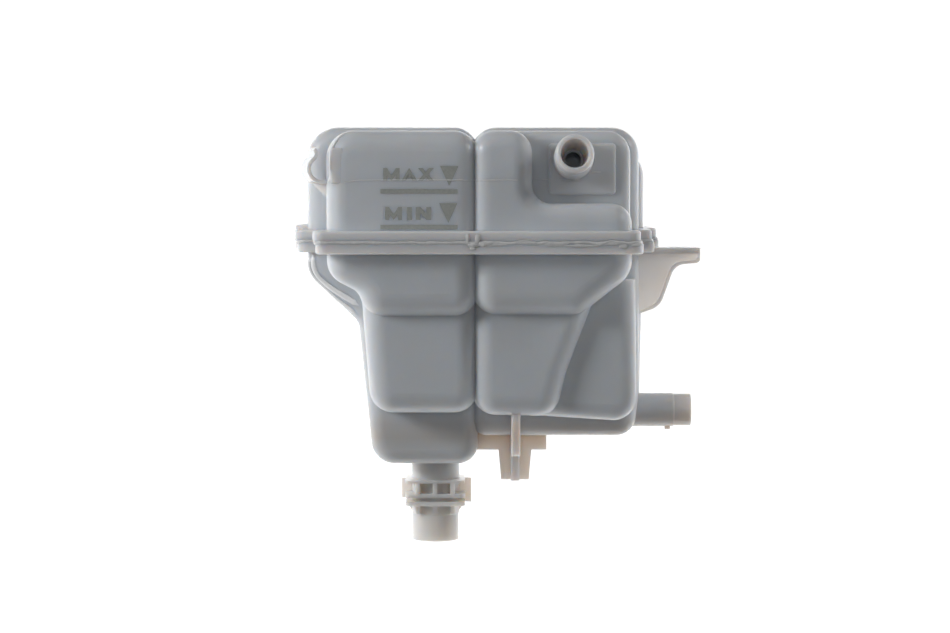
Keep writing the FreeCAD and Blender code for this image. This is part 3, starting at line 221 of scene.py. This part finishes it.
def rounded_plan(corners, spacing):
    """A closed plan line with rounded corners, as evenly spaced points.

    Each corner is a quarter arc between the points one radius away along its two sides.
    """
    spots = np.array([c[:2] for c in corners], float)
    radii = np.array([c[2] for c in corners], float)[:, None]
    back = np.roll(spots, 1, 0) - spots
    ahead = np.roll(spots, -1, 0) - spots
    back /= np.linalg.norm(back, axis=1, keepdims=True)
    ahead /= np.linalg.norm(ahead, axis=1, keepdims=True)
    turn = np.linspace(0, np.pi / 2, 9)[None, :, None]
    centre = spots + radii * (back + ahead)
    arcs = centre[:, None] - radii[:, None] * (np.cos(turn) * ahead[:, None] + np.sin(turn) * back[:, None])
    line = np.concatenate([arcs.reshape(-1, 2), arcs[:1, 0]])
    along = np.concatenate([[0], np.cumsum(np.linalg.norm(np.diff(line, axis=0), axis=1))])
    marks = np.linspace(0, along[-1], int(along[-1] / spacing), endpoint=False)
    return np.stack([np.interp(marks, along, line[:, k]) for k in (0, 1)], axis=1)


def ripple(count, waves, seed):
    """A smooth random wave round a loop, about 1 high: sines of whole periods, with seeded phases."""
    dice = np.random.default_rng(seed)
    turn = np.linspace(0, 2 * np.pi, count, endpoint=False)[:, None]
    parts = np.sin(turn * np.array(waves) + dice.uniform(0, 2 * np.pi, len(waves)))
    return parts.sum(axis=1) / math.sqrt(len(waves))


def weld_bead():
    """The bead: an oval profile carried round the seam, whose size and height wander a little.

    Its middle lies inside the flange's edge, and it wanders most at the front, right of the middle.
    """
    plan = rounded_plan(FLANGE_PLAN, BEAD_SPACING) + (MISMATCH / 2, 0)
    count = len(plan)
    side = np.roll(plan, -1, 0) - np.roll(plan, 1, 0)
    outward = np.stack([side[:, 1], -side[:, 0]], axis=1)
    outward /= np.linalg.norm(outward, axis=1, keepdims=True)
    size = 1 + 0.12 * ripple(count, (9, 23, 47, 71), 3) + 0.08 * ripple(count, (120, 171, 233), 4)
    front_right = np.clip((plan[:, 0] - 25) / 15, 0, 1) * (plan[:, 1] < -70)
    rise = 0.12 * ripple(count, (31, 57, 83), 5) + 0.55 * front_right * ripple(count, (29, 43, 61), 6)
    turn = np.linspace(0, 2 * np.pi, 12, endpoint=False)
    out = -BEAD_DEPTH + np.cos(turn) * BEAD_HALF_WIDTH * size[:, None]
    up = SEAM + rise[:, None] + np.sin(turn) * BEAD_HALF_HEIGHT * size[:, None]
    flat = plan[:, None] + outward[:, None] * out[..., None]
    return skin("weld_bead", np.concatenate([flat, up[..., None]], axis=2), loop=True)


def melt_blob(name, centre, half, seed):
    """A drop of cooled melt: an ellipsoid whose radius swells and shrinks with two waves round it."""
    dice = np.random.default_rng(seed)
    polar = np.linspace(0.04, np.pi - 0.04, 12)[:, None]
    around = np.linspace(0, 2 * np.pi, 20, endpoint=False)[None, :]
    swell = 1 + 0.16 * np.sin(2 * around + dice.uniform(0, 6)) * np.sin(polar)
    swell = swell + 0.1 * np.sin(5 * polar + dice.uniform(0, 6))
    shape = np.stack([
        np.cos(polar) + 0 * around, np.sin(polar) * np.cos(around), np.sin(polar) * np.sin(around),
    ], axis=2)
    return skin(name, np.array(centre) + shape * swell[..., None] * np.array(half))


melt_plastic, melt_tree, melt_shader = plain_material("melt_plastic", (0.68, 0.68, 0.68), 0.25)
melt_shader.inputs["IOR"].default_value = BENDING
shade_by(melt_tree, pattern(melt_tree, (1, 1, 1), 240, 3), (0.60, 0.61, 0.62), (0.76, 0.76, 0.75),
         melt_shader.inputs["Base Color"])
relief(melt_tree, melt_shader, pattern(melt_tree, (1, 1, 1), 700, 2), 0.0002, 0.3)
bead = weld_bead()
# Each drop's centre and its three half sizes: a knot where the front columns meet, then smears to the right.
BLOBS = [
    ((17.6, -70.7, 164.6), (1.0, 0.55, 2.3)), ((20.6, -70.8, 161.2), (2.6, 0.7, 1.1)),
    ((22.8, -70.7, 164.8), (1.3, 0.6, 2.6)), ((25.4, -70.7, 162.0), (2.2, 0.5, 1.5)),
    ((20.2, -70.6, 159.6), (1.6, 0.5, 0.8)), ((33, -70.4, 161.6), (5.5, 0.45, 0.8)),
    ((48, -70.4, 162.2), (7.5, 0.45, 0.9)), ((62, -70.4, 161.7), (8, 0.5, 1.3)),
    ((76, -70.4, 160.9), (8.5, 0.45, 1.0)), ((90, -70.4, 162.1), (6.5, 0.45, 1.0)),
    ((98, -70.4, 160.8), (2.6, 0.5, 1.3)), ((104, -70.3, 161.4), (2.6, 0.45, 1.0)),
]
drops = [melt_blob("melt_drop_%d" % k, centre, half, k) for k, (centre, half) in enumerate(BLOBS)]
for piece in [bead] + drops:
    piece.data.materials.append(melt_plastic)
    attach(piece, "tank")

# Parting lines: hair-thin ridges where the parts of the upper tool met, one straight across the front at the
# height of the hook, and short ones round the slide that formed the vent spout and its recess.
# They are part of the moulding, and their plastic is painted lighter than the wall round them, as a painted
# highlight for the light they catch.
FRONT_Y = -64
MIDDLE = 21.4
RECESS_Y = -46
PAD_Y = -47.5
PARTING_HEIGHT = 194.7
TOWARDS_VIEWER = np.array([0.0, -1.0, 0.0])


def hair_ridge(name, path, half_width):
    """A six-sided profile, flatter than it is wide, carried along a path and sunk by half in the wall."""
    path = np.array(path, float)
    ahead = np.gradient(path, axis=0)
    ahead /= np.linalg.norm(ahead, axis=1, keepdims=True)
    across = np.cross(ahead, TOWARDS_VIEWER)
    turn = np.linspace(0, 2 * np.pi, 6, endpoint=False)
    ring = np.cos(turn)[None, :, None] * across[:, None] * half_width
    ring = ring + np.sin(turn)[None, :, None] * TOWARDS_VIEWER * half_width * 0.8
    return skin(name, path[:, None] + ring)


def lobe_front(across):
    """How deep the upper moulding's front lies: each lobe is flat, with quarter rounds of its own radius."""
    depth = np.full(across.shape, 1e3)
    for low, high, radius in ((-55.8, MIDDLE + 1.5, 11), (MIDDLE - 1.5, 51, 9.5)):
        over = np.clip(np.maximum(low + radius - across, across - (high - radius)), 0, radius - 0.01)
        inside = (across > low) & (across < high)
        lobe = FRONT_Y + radius - np.sqrt(radius ** 2 - over ** 2)
        depth = np.where(inside, np.minimum(depth, lobe), depth)
    return depth


across = np.linspace(-46.3, 43.5, 240)
dip = 1.6 * np.exp(-((across + 49) / 6.5) ** 2)
front_line = np.stack([across, lobe_front(across), PARTING_HEIGHT - dip], axis=1)
RIDGES = {
    "parting_line_front": (0.22, front_line),
    "parting_line_recess": (0.16, [(52.5, RECESS_Y, 195.2), (59, RECESS_Y, 195.0), (66, PAD_Y, 194.8)]),
    "parting_line_pad": (0.16, [(66, PAD_Y, 194.8), (70, PAD_Y, 194.7), (76, PAD_Y, 194.8)]),
    "parting_line_top": (0.2, [(80.4, RECESS_Y, 214.0), (80.4, RECESS_Y, 211.6)]),
    "slide_mark_left": (0.16, [(61.0, PAD_Y, 205.4), (61.0, PAD_Y, 201.0), (61.0, PAD_Y, 197.2)]),
    "slide_mark_right": (0.14, [(82.5, PAD_Y, 198.9), (87.0, PAD_Y, 198.9)]),
}
# The ridges' plastic is painted lighter than the tank's and takes no light in: a painted highlight.
ridge_painted_highlight_plastic, ridge_tree, ridge_shader = plain_material("ridge_painted_highlight_plastic", (0.93, 0.93, 0.93), 0.3)
ridge_shader.inputs["IOR"].default_value = BENDING
shade_by(ridge_tree, pattern(ridge_tree, (1, 1, 1), 200, 3), (0.84, 0.85, 0.86), (0.94, 0.94, 0.94),
         ridge_shader.inputs["Base Color"])
relief(ridge_tree, ridge_shader, pattern(ridge_tree, (1, 1, 1), 900, 2), 0.0001, 0.3)
for name, (half_width, path) in RIDGES.items():
    piece = hair_ridge(name, path, half_width)
    piece.data.materials.append(ridge_painted_highlight_plastic)
    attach(piece, "tank")

# Ribs moulded on the outside, drawn in the parting lines' lighter plastic as a painted highlight: two along
# the left slope, where the rear rows of chambers step outwards, and the rim that carries the hose hook's arm
# up the front column's left edge.
# Each has its node, its half width, its height, and the points that lead it along the wall.
RIBS = {
    "slope_rib_inner": ("lower_shell", 1.55, 0.85, [
        (-64.6, -27.8, 155.5), (-64.5, -27.8, 150.0), (-63.4, -27.5, 146.0), (-61.1, -27.0, 142.0),
        (-56.2, -27.4, 138.3), (-48.9, -28.4, 133.7), (-43.2, -29.0, 130.4), (-40.2, -29.3, 128.2),
    ]),
    "slope_rib_outer": ("lower_shell", 1.45, 0.85, [
        (-67.2, -25.2, 154.5), (-67.1, -25.0, 149.5), (-66.3, -24.6, 144.6), (-63.6, -24.4, 139.6),
        (-58.6, -24.6, 135.6), (-51.6, -25.2, 130.9), (-45.4, -26.2, 126.8), (-41.2, -27.2, 123.8),
    ]),
    "hook_arm_rim": ("upper_shell", 0.8, 0.6, [
        (-55.4, -56.5, 193.0), (-54.5, -59.5, 194.8), (-53.7, -62.6, 198.6), (-53.4, -63.2, 203.0),
        (-53.2, -62.4, 207.4), (-52.6, -60.8, 211.4), (-51.0, -59.0, 214.8), (-48.0, -57.6, 217.8),
        (-44.5, -56.6, 219.6),
    ]),
}


def smooth_line(line, rounds):
    """Each point is moved to the mean of itself and its neighbours, several times; the ends stay."""
    for _ in range(rounds):
        line[1:-1] = (line[:-2] + 2 * line[1:-1] + line[2:]) / 4
    return line


def rib(name, node, half_width, height, guide):
    """An oval sunk by half in the wall and carried along it: its guide points are taken to the nearest wall.

    The oval fades to nothing over the last three millimetres at either end.
    """
    guide = np.array(guide, float)
    along = np.concatenate([[0], np.cumsum(np.linalg.norm(np.diff(guide, axis=0), axis=1))])
    marks = np.linspace(0, along[-1], 70)
    spots = smooth_line(np.stack([np.interp(marks, along, guide[:, k]) for k in range(3)], axis=1), 30)
    landed = [nodes[node].closest_point_on_mesh((spot * MM).tolist()) for spot in spots]
    wall = smooth_line(np.array([hit[1][:] for hit in landed]) / MM, 12)
    normal = smooth_line(np.array([hit[2][:] for hit in landed]), 30)
    normal /= np.linalg.norm(normal, axis=1, keepdims=True)
    across = np.cross(np.gradient(wall, axis=0), normal)
    across /= np.linalg.norm(across, axis=1, keepdims=True)
    fade = np.clip(np.minimum(marks, along[-1] - marks) / 3, 0.05, 1)[:, None, None]
    turn = np.linspace(0, 2 * np.pi, 16, endpoint=False)[None, :, None]
    oval = half_width * np.cos(turn) * across[:, None] + height * np.sin(turn) * normal[:, None]
    return skin(name, wall[:, None] + oval * fade)


for name, (node, half_width, height, guide) in RIBS.items():
    piece = rib(name, node, half_width, height, guide)
    piece.data.materials.append(ridge_painted_highlight_plastic)
    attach(piece, "tank")

# Level marks: the two words, their pointers and the lines to fill between, printed on the front in grey ink.
# The ink lies a few hundredths of a millimetre thick and has worn thin in places.
INK = 0.05
STROKE = 2.5125
LETTER_HEIGHT = 6.6
POINTER_WIDTH, POINTER_HEIGHT = 9.4, 10.2
LINE_LEFT, LINE_RIGHT, LINE_HEIGHT = -27.4, 12.4, 2.2
WORDS = {
    "max": [("M", -25.9, 8.4), ("A", -16.6, 8.2), ("X", -8.0, 8.2)],
    "min": [("M", -24.9, 8.6), ("I", -13.6, 2.4), ("N", -9.2, 8.0)],
}


def letter(form, width):
    """The strokes of a capital as four-cornered outlines, in its width and a height of 1.

    Strokes are as thick in every letter, apart from the one with four, whose are a fifth thinner.
    """
    t = STROKE / width * (0.8 if form == "M" else 1)
    far = 1 - t
    near_middle, past_middle = 0.5 - t / 2, 0.5 + t / 2
    post = ((0, 0), (t, 0), (t, 1), (0, 1))
    far_post = ((far, 0), (1, 0), (1, 1), (far, 1))
    bars = {
        "M": [post, far_post, ((t, 0.98), (t, 0.45), (0.5, 0.0), (0.5, 0.42)),
              ((far, 0.45), (far, 0.98), (0.5, 0.42), (0.5, 0.0))],
        "A": [((0, 0), (t, 0), (0.5, 0.66), (0.5, 1)), ((far, 0), (1, 0), (0.5, 1), (0.5, 0.66)),
              ((0.29, 0.2), (0.71, 0.2), (0.6, 0.38), (0.4, 0.38))],
        "X": [((0, 0), (t, 0), (past_middle, 0.5), (near_middle, 0.5)),
              ((far, 0), (1, 0), (past_middle, 0.5), (0.5, 0.32)),
              ((near_middle, 0.5), (past_middle, 0.5), (1, 1), (far, 1)),
              ((0, 1), (near_middle, 0.5), (0.5, 0.68), (t, 1))],
        "I": [((0, 0), (1, 0), (1, 1), (0, 1))],
        "N": [post, far_post, ((t, 0.98), (t, 0.5), (far, 0.02), (far, 0.5))],
    }
    return [np.array(bar) * (width, 1) for bar in bars[form]]


def printed(name, outlines):
    """Flat ink: each outline, in across and height, raised to a thin plate on the front of the left lobe."""
    points, faces = [], []
    for outline in outlines:
        first = len(points)
        count = len(outline)
        points += [(x, FRONT_Y - INK, z) for x, z in outline] + [(x, FRONT_Y + INK, z) for x, z in outline]
        ring = list(range(first, first + count))
        faces += [ring, [k + count for k in reversed(ring)]]
        faces += [(ring[k], ring[k - 1], ring[k - 1] + count, ring[k] + count) for k in range(count)]
    mesh = bpy.data.meshes.new(name)
    mesh.from_pydata((np.array(points) * MM).tolist(), [], faces)
    return finished(name, mesh, False)


ink, ink_tree, ink_shader = plain_material("grey_ink", (0.40, 0.405, 0.38), 0.6)
shade_by(ink_tree, pattern(ink_tree, (1, 1, 1), 900, 3), (0.415, 0.43, 0.405), (0.34, 0.355, 0.335),
         ink_shader.inputs["Base Color"])
relief(ink_tree, ink_shader, pattern(ink_tree, (1, 1, 1), 1800, 2), 0.0001, 0.3)
marks = []
for word, (foot, pointer_foot, line_foot, pointer_left) in {
    "max": (194.3, 191.7, 187.8, 3.4), "min": (174.2, 172.6, 169.4, 2.9)
}.items():
    outlines = []
    for form, left, width in WORDS[word]:
        outlines += [bar * (1, LETTER_HEIGHT) + (left, foot) for bar in letter(form, width)]
    marks.append(printed("level_word_" + word, outlines))
    pointer_top = pointer_foot + POINTER_HEIGHT
    pointer = [(pointer_left, pointer_top), (pointer_left + POINTER_WIDTH / 2, pointer_foot),
               (pointer_left + POINTER_WIDTH, pointer_top)]
    marks.append(printed("level_pointer_" + word, [pointer]))
    line_top = line_foot + LINE_HEIGHT
    line = [(LINE_LEFT, line_foot), (LINE_RIGHT, line_foot), (LINE_RIGHT, line_top), (LINE_LEFT, line_top)]
    marks.append(printed("level_line_" + word, [line]))
for piece in marks:
    piece.data.materials.append(ink)
    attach(piece, "tank")

# The filler neck's thread: a right-handed ridge moulded round the neck, of the tank's own plastic.
# One turn climbs 4 mm, and the ridge runs out smoothly at both ends.
NECK = (-24.0, 50.5)
LEAD = 4.0
STEPS_PER_TURN = 60
RUN_OUT = 0.9
THREAD_START = 197.6


def thread(name, turns, root, crest, half_foot, half_tip):
    """A helical ridge: a four-cornered profile between two radii, carried up a helix, faded at both ends."""
    turn = np.linspace(0, 2 * np.pi * turns, int(STEPS_PER_TURN * turns))
    fade = np.clip(np.minimum(turn, turn[-1] - turn) / RUN_OUT, 0.02, 1)
    fade = fade * fade * (3 - 2 * fade)
    radius = np.array([root, crest, crest, root])
    height = np.array([-half_foot, -half_tip, half_tip, half_foot])
    reach = root + (radius - root) * fade[:, None]
    rise = THREAD_START + LEAD * turn[:, None] / (2 * np.pi) + height * (0.3 + 0.7 * fade[:, None])
    angle = turn[:, None]
    rings = np.stack([NECK[0] + reach * np.cos(angle), NECK[1] + reach * np.sin(angle), rise], axis=2)
    return skin(name, rings)


neck_thread = thread("neck_thread", 2.6, 20.7, 22.8, 0.95, 0.5)
neck_thread.data.materials.append(tank_plastic)
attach(neck_thread, "tank")

# The cap: one black moulding with grip ribs, satin, and the thread inside its skirt, on the neck's own helix.
# It is filled with short glass fibre, which shows as a fine grain.
cap_plastic, cap_tree, cap_shader = plain_material("cap_plastic", (0.02, 0.02, 0.021), 0.42)
shade_by(cap_tree, pattern(cap_tree, (1, 1, 1), 420, 4), (0.36, 0.36, 0.36), (0.52, 0.52, 0.52),
         cap_shader.inputs["Roughness"])
shade_by(cap_tree, pattern(cap_tree, (1, 1, 1), 55, 3), (0.017, 0.017, 0.018), (0.03, 0.03, 0.031),
         cap_shader.inputs["Base Color"])
relief(cap_tree, cap_shader, pattern(cap_tree, (1, 1, 1), 1900, 3), 0.0001, 0.4)
dress("cap_shell", cap_plastic)
cap_thread = thread("cap_thread", 1.5, 24.4, 22.3, 0.85, 0.45)
cap_thread.data.materials.append(cap_plastic)
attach(cap_thread, "cap")

# The valve unit inside the cap: turned-looking acetal mouldings, off-white and waxy.
# They snap together, with a rubber ring and a rubber washer between them.
acetal, acetal_tree, acetal_shader = plain_material("acetal", (0.74, 0.72, 0.66), 0.38)
acetal_shader.inputs["Subsurface Weight"].default_value = 0.4
acetal_shader.inputs["Subsurface Scale"].default_value = 0.002
shade_by(acetal_tree, pattern(acetal_tree, (1, 1, 1), 90, 3), (0.70, 0.68, 0.62), (0.78, 0.76, 0.70),
         acetal_shader.inputs["Base Color"])
relief(acetal_tree, acetal_shader, pattern(acetal_tree, (1, 1, 1), 1500, 2), 0.0001, 0.25)
for node in ("valve_body", "pressure_plate", "spring_retainer", "vacuum_valve"):
    dress(node, acetal)

# Seals: black rubber, moulded, dull, with a faint bloom.
# The ring sits in the valve unit's groove and the washer under the pressure plate.
rubber, rubber_tree, rubber_shader = plain_material("seal_rubber", (0.018, 0.018, 0.019), 0.68)
shade_by(rubber_tree, pattern(rubber_tree, (1, 1, 1), 160, 4), (0.015, 0.015, 0.016), (0.035, 0.035, 0.036),
         rubber_shader.inputs["Base Color"])
relief(rubber_tree, rubber_shader, pattern(rubber_tree, (1, 1, 1), 2200, 2), 0.0001, 0.35)
for node in ("neck_seal_ring", "plate_washer"):
    dress(node, rubber)

# Springs: drawn stainless wire, wound cold, with fine drawing marks.
# The strong one keeps the pressure plate shut and the weak one the vacuum valve.
wire, wire_tree, wire_shader = plain_material("spring_wire", (0.55, 0.55, 0.56), 0.28)
wire_shader.inputs["Metallic"].default_value = 1.0
shade_by(wire_tree, pattern(wire_tree, (1, 1, 8), 900, 2), (0.2, 0.2, 0.2), (0.38, 0.38, 0.38),
         wire_shader.inputs["Roughness"])
relief(wire_tree, wire_shader, pattern(wire_tree, (1, 1, 6), 3000, 2), 0.00005, 0.3)
COIL_TURNS = 4
COIL_STEPS = 48
CLOSED_PITCH = 2.1


def coil(name, node, radius, wire_radius):
    """A round wire carried up a helix of four turns, of which the first and the last are closed.

    A closed turn climbs a little over the wire's own thickness, and the two between them share the rest of the
    height.
    """
    low, high = (np.array(corner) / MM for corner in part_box(node))
    turn = np.linspace(0, COIL_TURNS, COIL_TURNS * COIL_STEPS + 1)
    closed = np.minimum(turn, 1) + np.maximum(turn - (COIL_TURNS - 1), 0)
    free = np.clip((turn - 1) / (COIL_TURNS - 2), 0, 1)
    climb = CLOSED_PITCH * wire_radius
    tall = high[2] - low[2] - 2 * wire_radius
    rise = low[2] + wire_radius + climb * closed + (tall - 2 * climb) * free
    angle = 2 * np.pi * turn[:, None]
    ring = np.linspace(0, 2 * np.pi, 14, endpoint=False)
    reach = radius + wire_radius * np.cos(ring)
    rings = np.stack([NECK[0] + reach * np.cos(angle), NECK[1] + reach * np.sin(angle),
                      rise[:, None] + wire_radius * np.sin(ring) + 0 * angle], axis=2)
    piece = skin(name, rings)
    piece.data.materials.append(wire)
    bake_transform(piece)
    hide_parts(node)


coil("pressure_coil", "pressure_spring", 8.4, 0.7)
coil("vacuum_coil", "vacuum_spring", 2.6, 0.25)

# The studio: a pale floor under the tank, a white surround that is dim on the viewer's side, and soft lamps.
# The tank is lit mostly from behind and from the sides, as a see-through part is photographed.
FLOOR_REACH = 6
FLOOR_HEIGHT = -0.001
floor_mesh = bpy.data.meshes.new("studio_floor")
floor_corners = [(-1, -1), (1, -1), (1, 1), (-1, 1)]
floor_mesh.from_pydata([(x * FLOOR_REACH, y * FLOOR_REACH, FLOOR_HEIGHT) for x, y in floor_corners], [],
                       [(0, 1, 2, 3)])
floor = bpy.data.objects.new("studio_floor", floor_mesh)
bpy.context.collection.objects.link(floor)
floor_paint, _, floor_shader = plain_material("floor_paint", (0.93, 0.93, 0.93), 0.9)
floor_mesh.materials.append(floor_paint)
floor_shader.inputs["Emission Color"].default_value = (1, 1, 1, 1)
floor_shader.inputs["Emission Strength"].default_value = 0.85
floor.visible_diffuse = False
floor.visible_glossy = False
floor.visible_transmission = False

# The surround's light rises from the viewer's side to the back and falls off again overhead, and the camera
# sees it plain white.
NEAR_LIGHT, FAR_LIGHT, SEEN_LIGHT = 0.125, 1.75, 1.05
FALL_START, FALL_END, FALL_OVERHEAD = -0.35, 0.2, -1.5
world = bpy.data.worlds.new("studio")
world.use_nodes = True
bpy.context.scene.world = world
surround = world.node_tree
direction = surround.nodes.new("ShaderNodeTexCoord")
axes = surround.nodes.new("ShaderNodeSeparateXYZ")
above = surround.nodes.new("ShaderNodeMath")
above.operation = "MAXIMUM"
above.inputs[1].default_value = 0
lean = surround.nodes.new("ShaderNodeMath")
lean.operation = "MULTIPLY_ADD"
lean.inputs[1].default_value = FALL_OVERHEAD
fall = surround.nodes.new("ShaderNodeMapRange")
fall.interpolation_type = "SMOOTHSTEP"
fall.inputs["From Min"].default_value = FALL_START
fall.inputs["From Max"].default_value = FALL_END
fall.inputs["To Min"].default_value = NEAR_LIGHT
fall.inputs["To Max"].default_value = FAR_LIGHT
ray = surround.nodes.new("ShaderNodeLightPath")
seen = surround.nodes.new("ShaderNodeMix")
seen.data_type = "FLOAT"
seen.inputs["B"].default_value = SEEN_LIGHT
background = surround.nodes["Background"]
background.inputs["Color"].default_value = (1, 1, 1, 1)
surround.links.new(direction.outputs["Generated"], axes.inputs["Vector"])
surround.links.new(axes.outputs["Z"], above.inputs[0])
surround.links.new(above.outputs["Value"], lean.inputs[0])
surround.links.new(axes.outputs["Y"], lean.inputs[2])
surround.links.new(lean.outputs["Value"], fall.inputs["Value"])
surround.links.new(ray.outputs["Is Camera Ray"], seen.inputs["Factor"])
surround.links.new(fall.outputs["Result"], seen.inputs["A"])
surround.links.new(seen.outputs["Result"], background.inputs["Strength"])


def soft_lamp(name, place, target, size, watts):
    """A square area lamp that points at a target."""
    lamp = bpy.data.lights.new(name, "AREA")
    lamp.size = size
    lamp.energy = watts
    holder = bpy.data.objects.new(name, lamp)
    holder.location = place
    way = np.array(target) - np.array(place)
    holder.rotation_euler = (math.acos(-way[2] / np.linalg.norm(way)), 0, math.atan2(-way[0], way[1]))
    bpy.context.collection.objects.link(holder)


TANK_MIDDLE = (0.02, 0, 0.12)
soft_lamp("lamp_left", (-1.0, -0.5, 0.55), TANK_MIDDLE, 0.3, 7.2)
soft_lamp("lamp_right", (1.1, -0.3, 0.8), TANK_MIDDLE, 0.3, 3.2)
soft_lamp("lamp_front", (0.05, -1.45, 0.36), (0.05, 0, 0.18), 0.25, 0.65)

# The camera: at the photograph's angle, three degrees above the level and about 1.4 m away.
# Its lens is a long one, and the tank fills a little under half of the picture's width.
camera_data = bpy.data.cameras.new("camera")
camera_data.sensor_width = 36
camera_data.lens = 98.5
camera_data.clip_start = 0.05
camera = bpy.data.objects.new("camera", camera_data)
camera.location = (0.0214, -1.4061, 0.1946)
camera.rotation_euler = (math.radians(87), 0, 0)
bpy.context.collection.objects.link(camera)
bpy.context.scene.camera = camera
bpy.context.scene.view_settings.view_transform = "Standard"
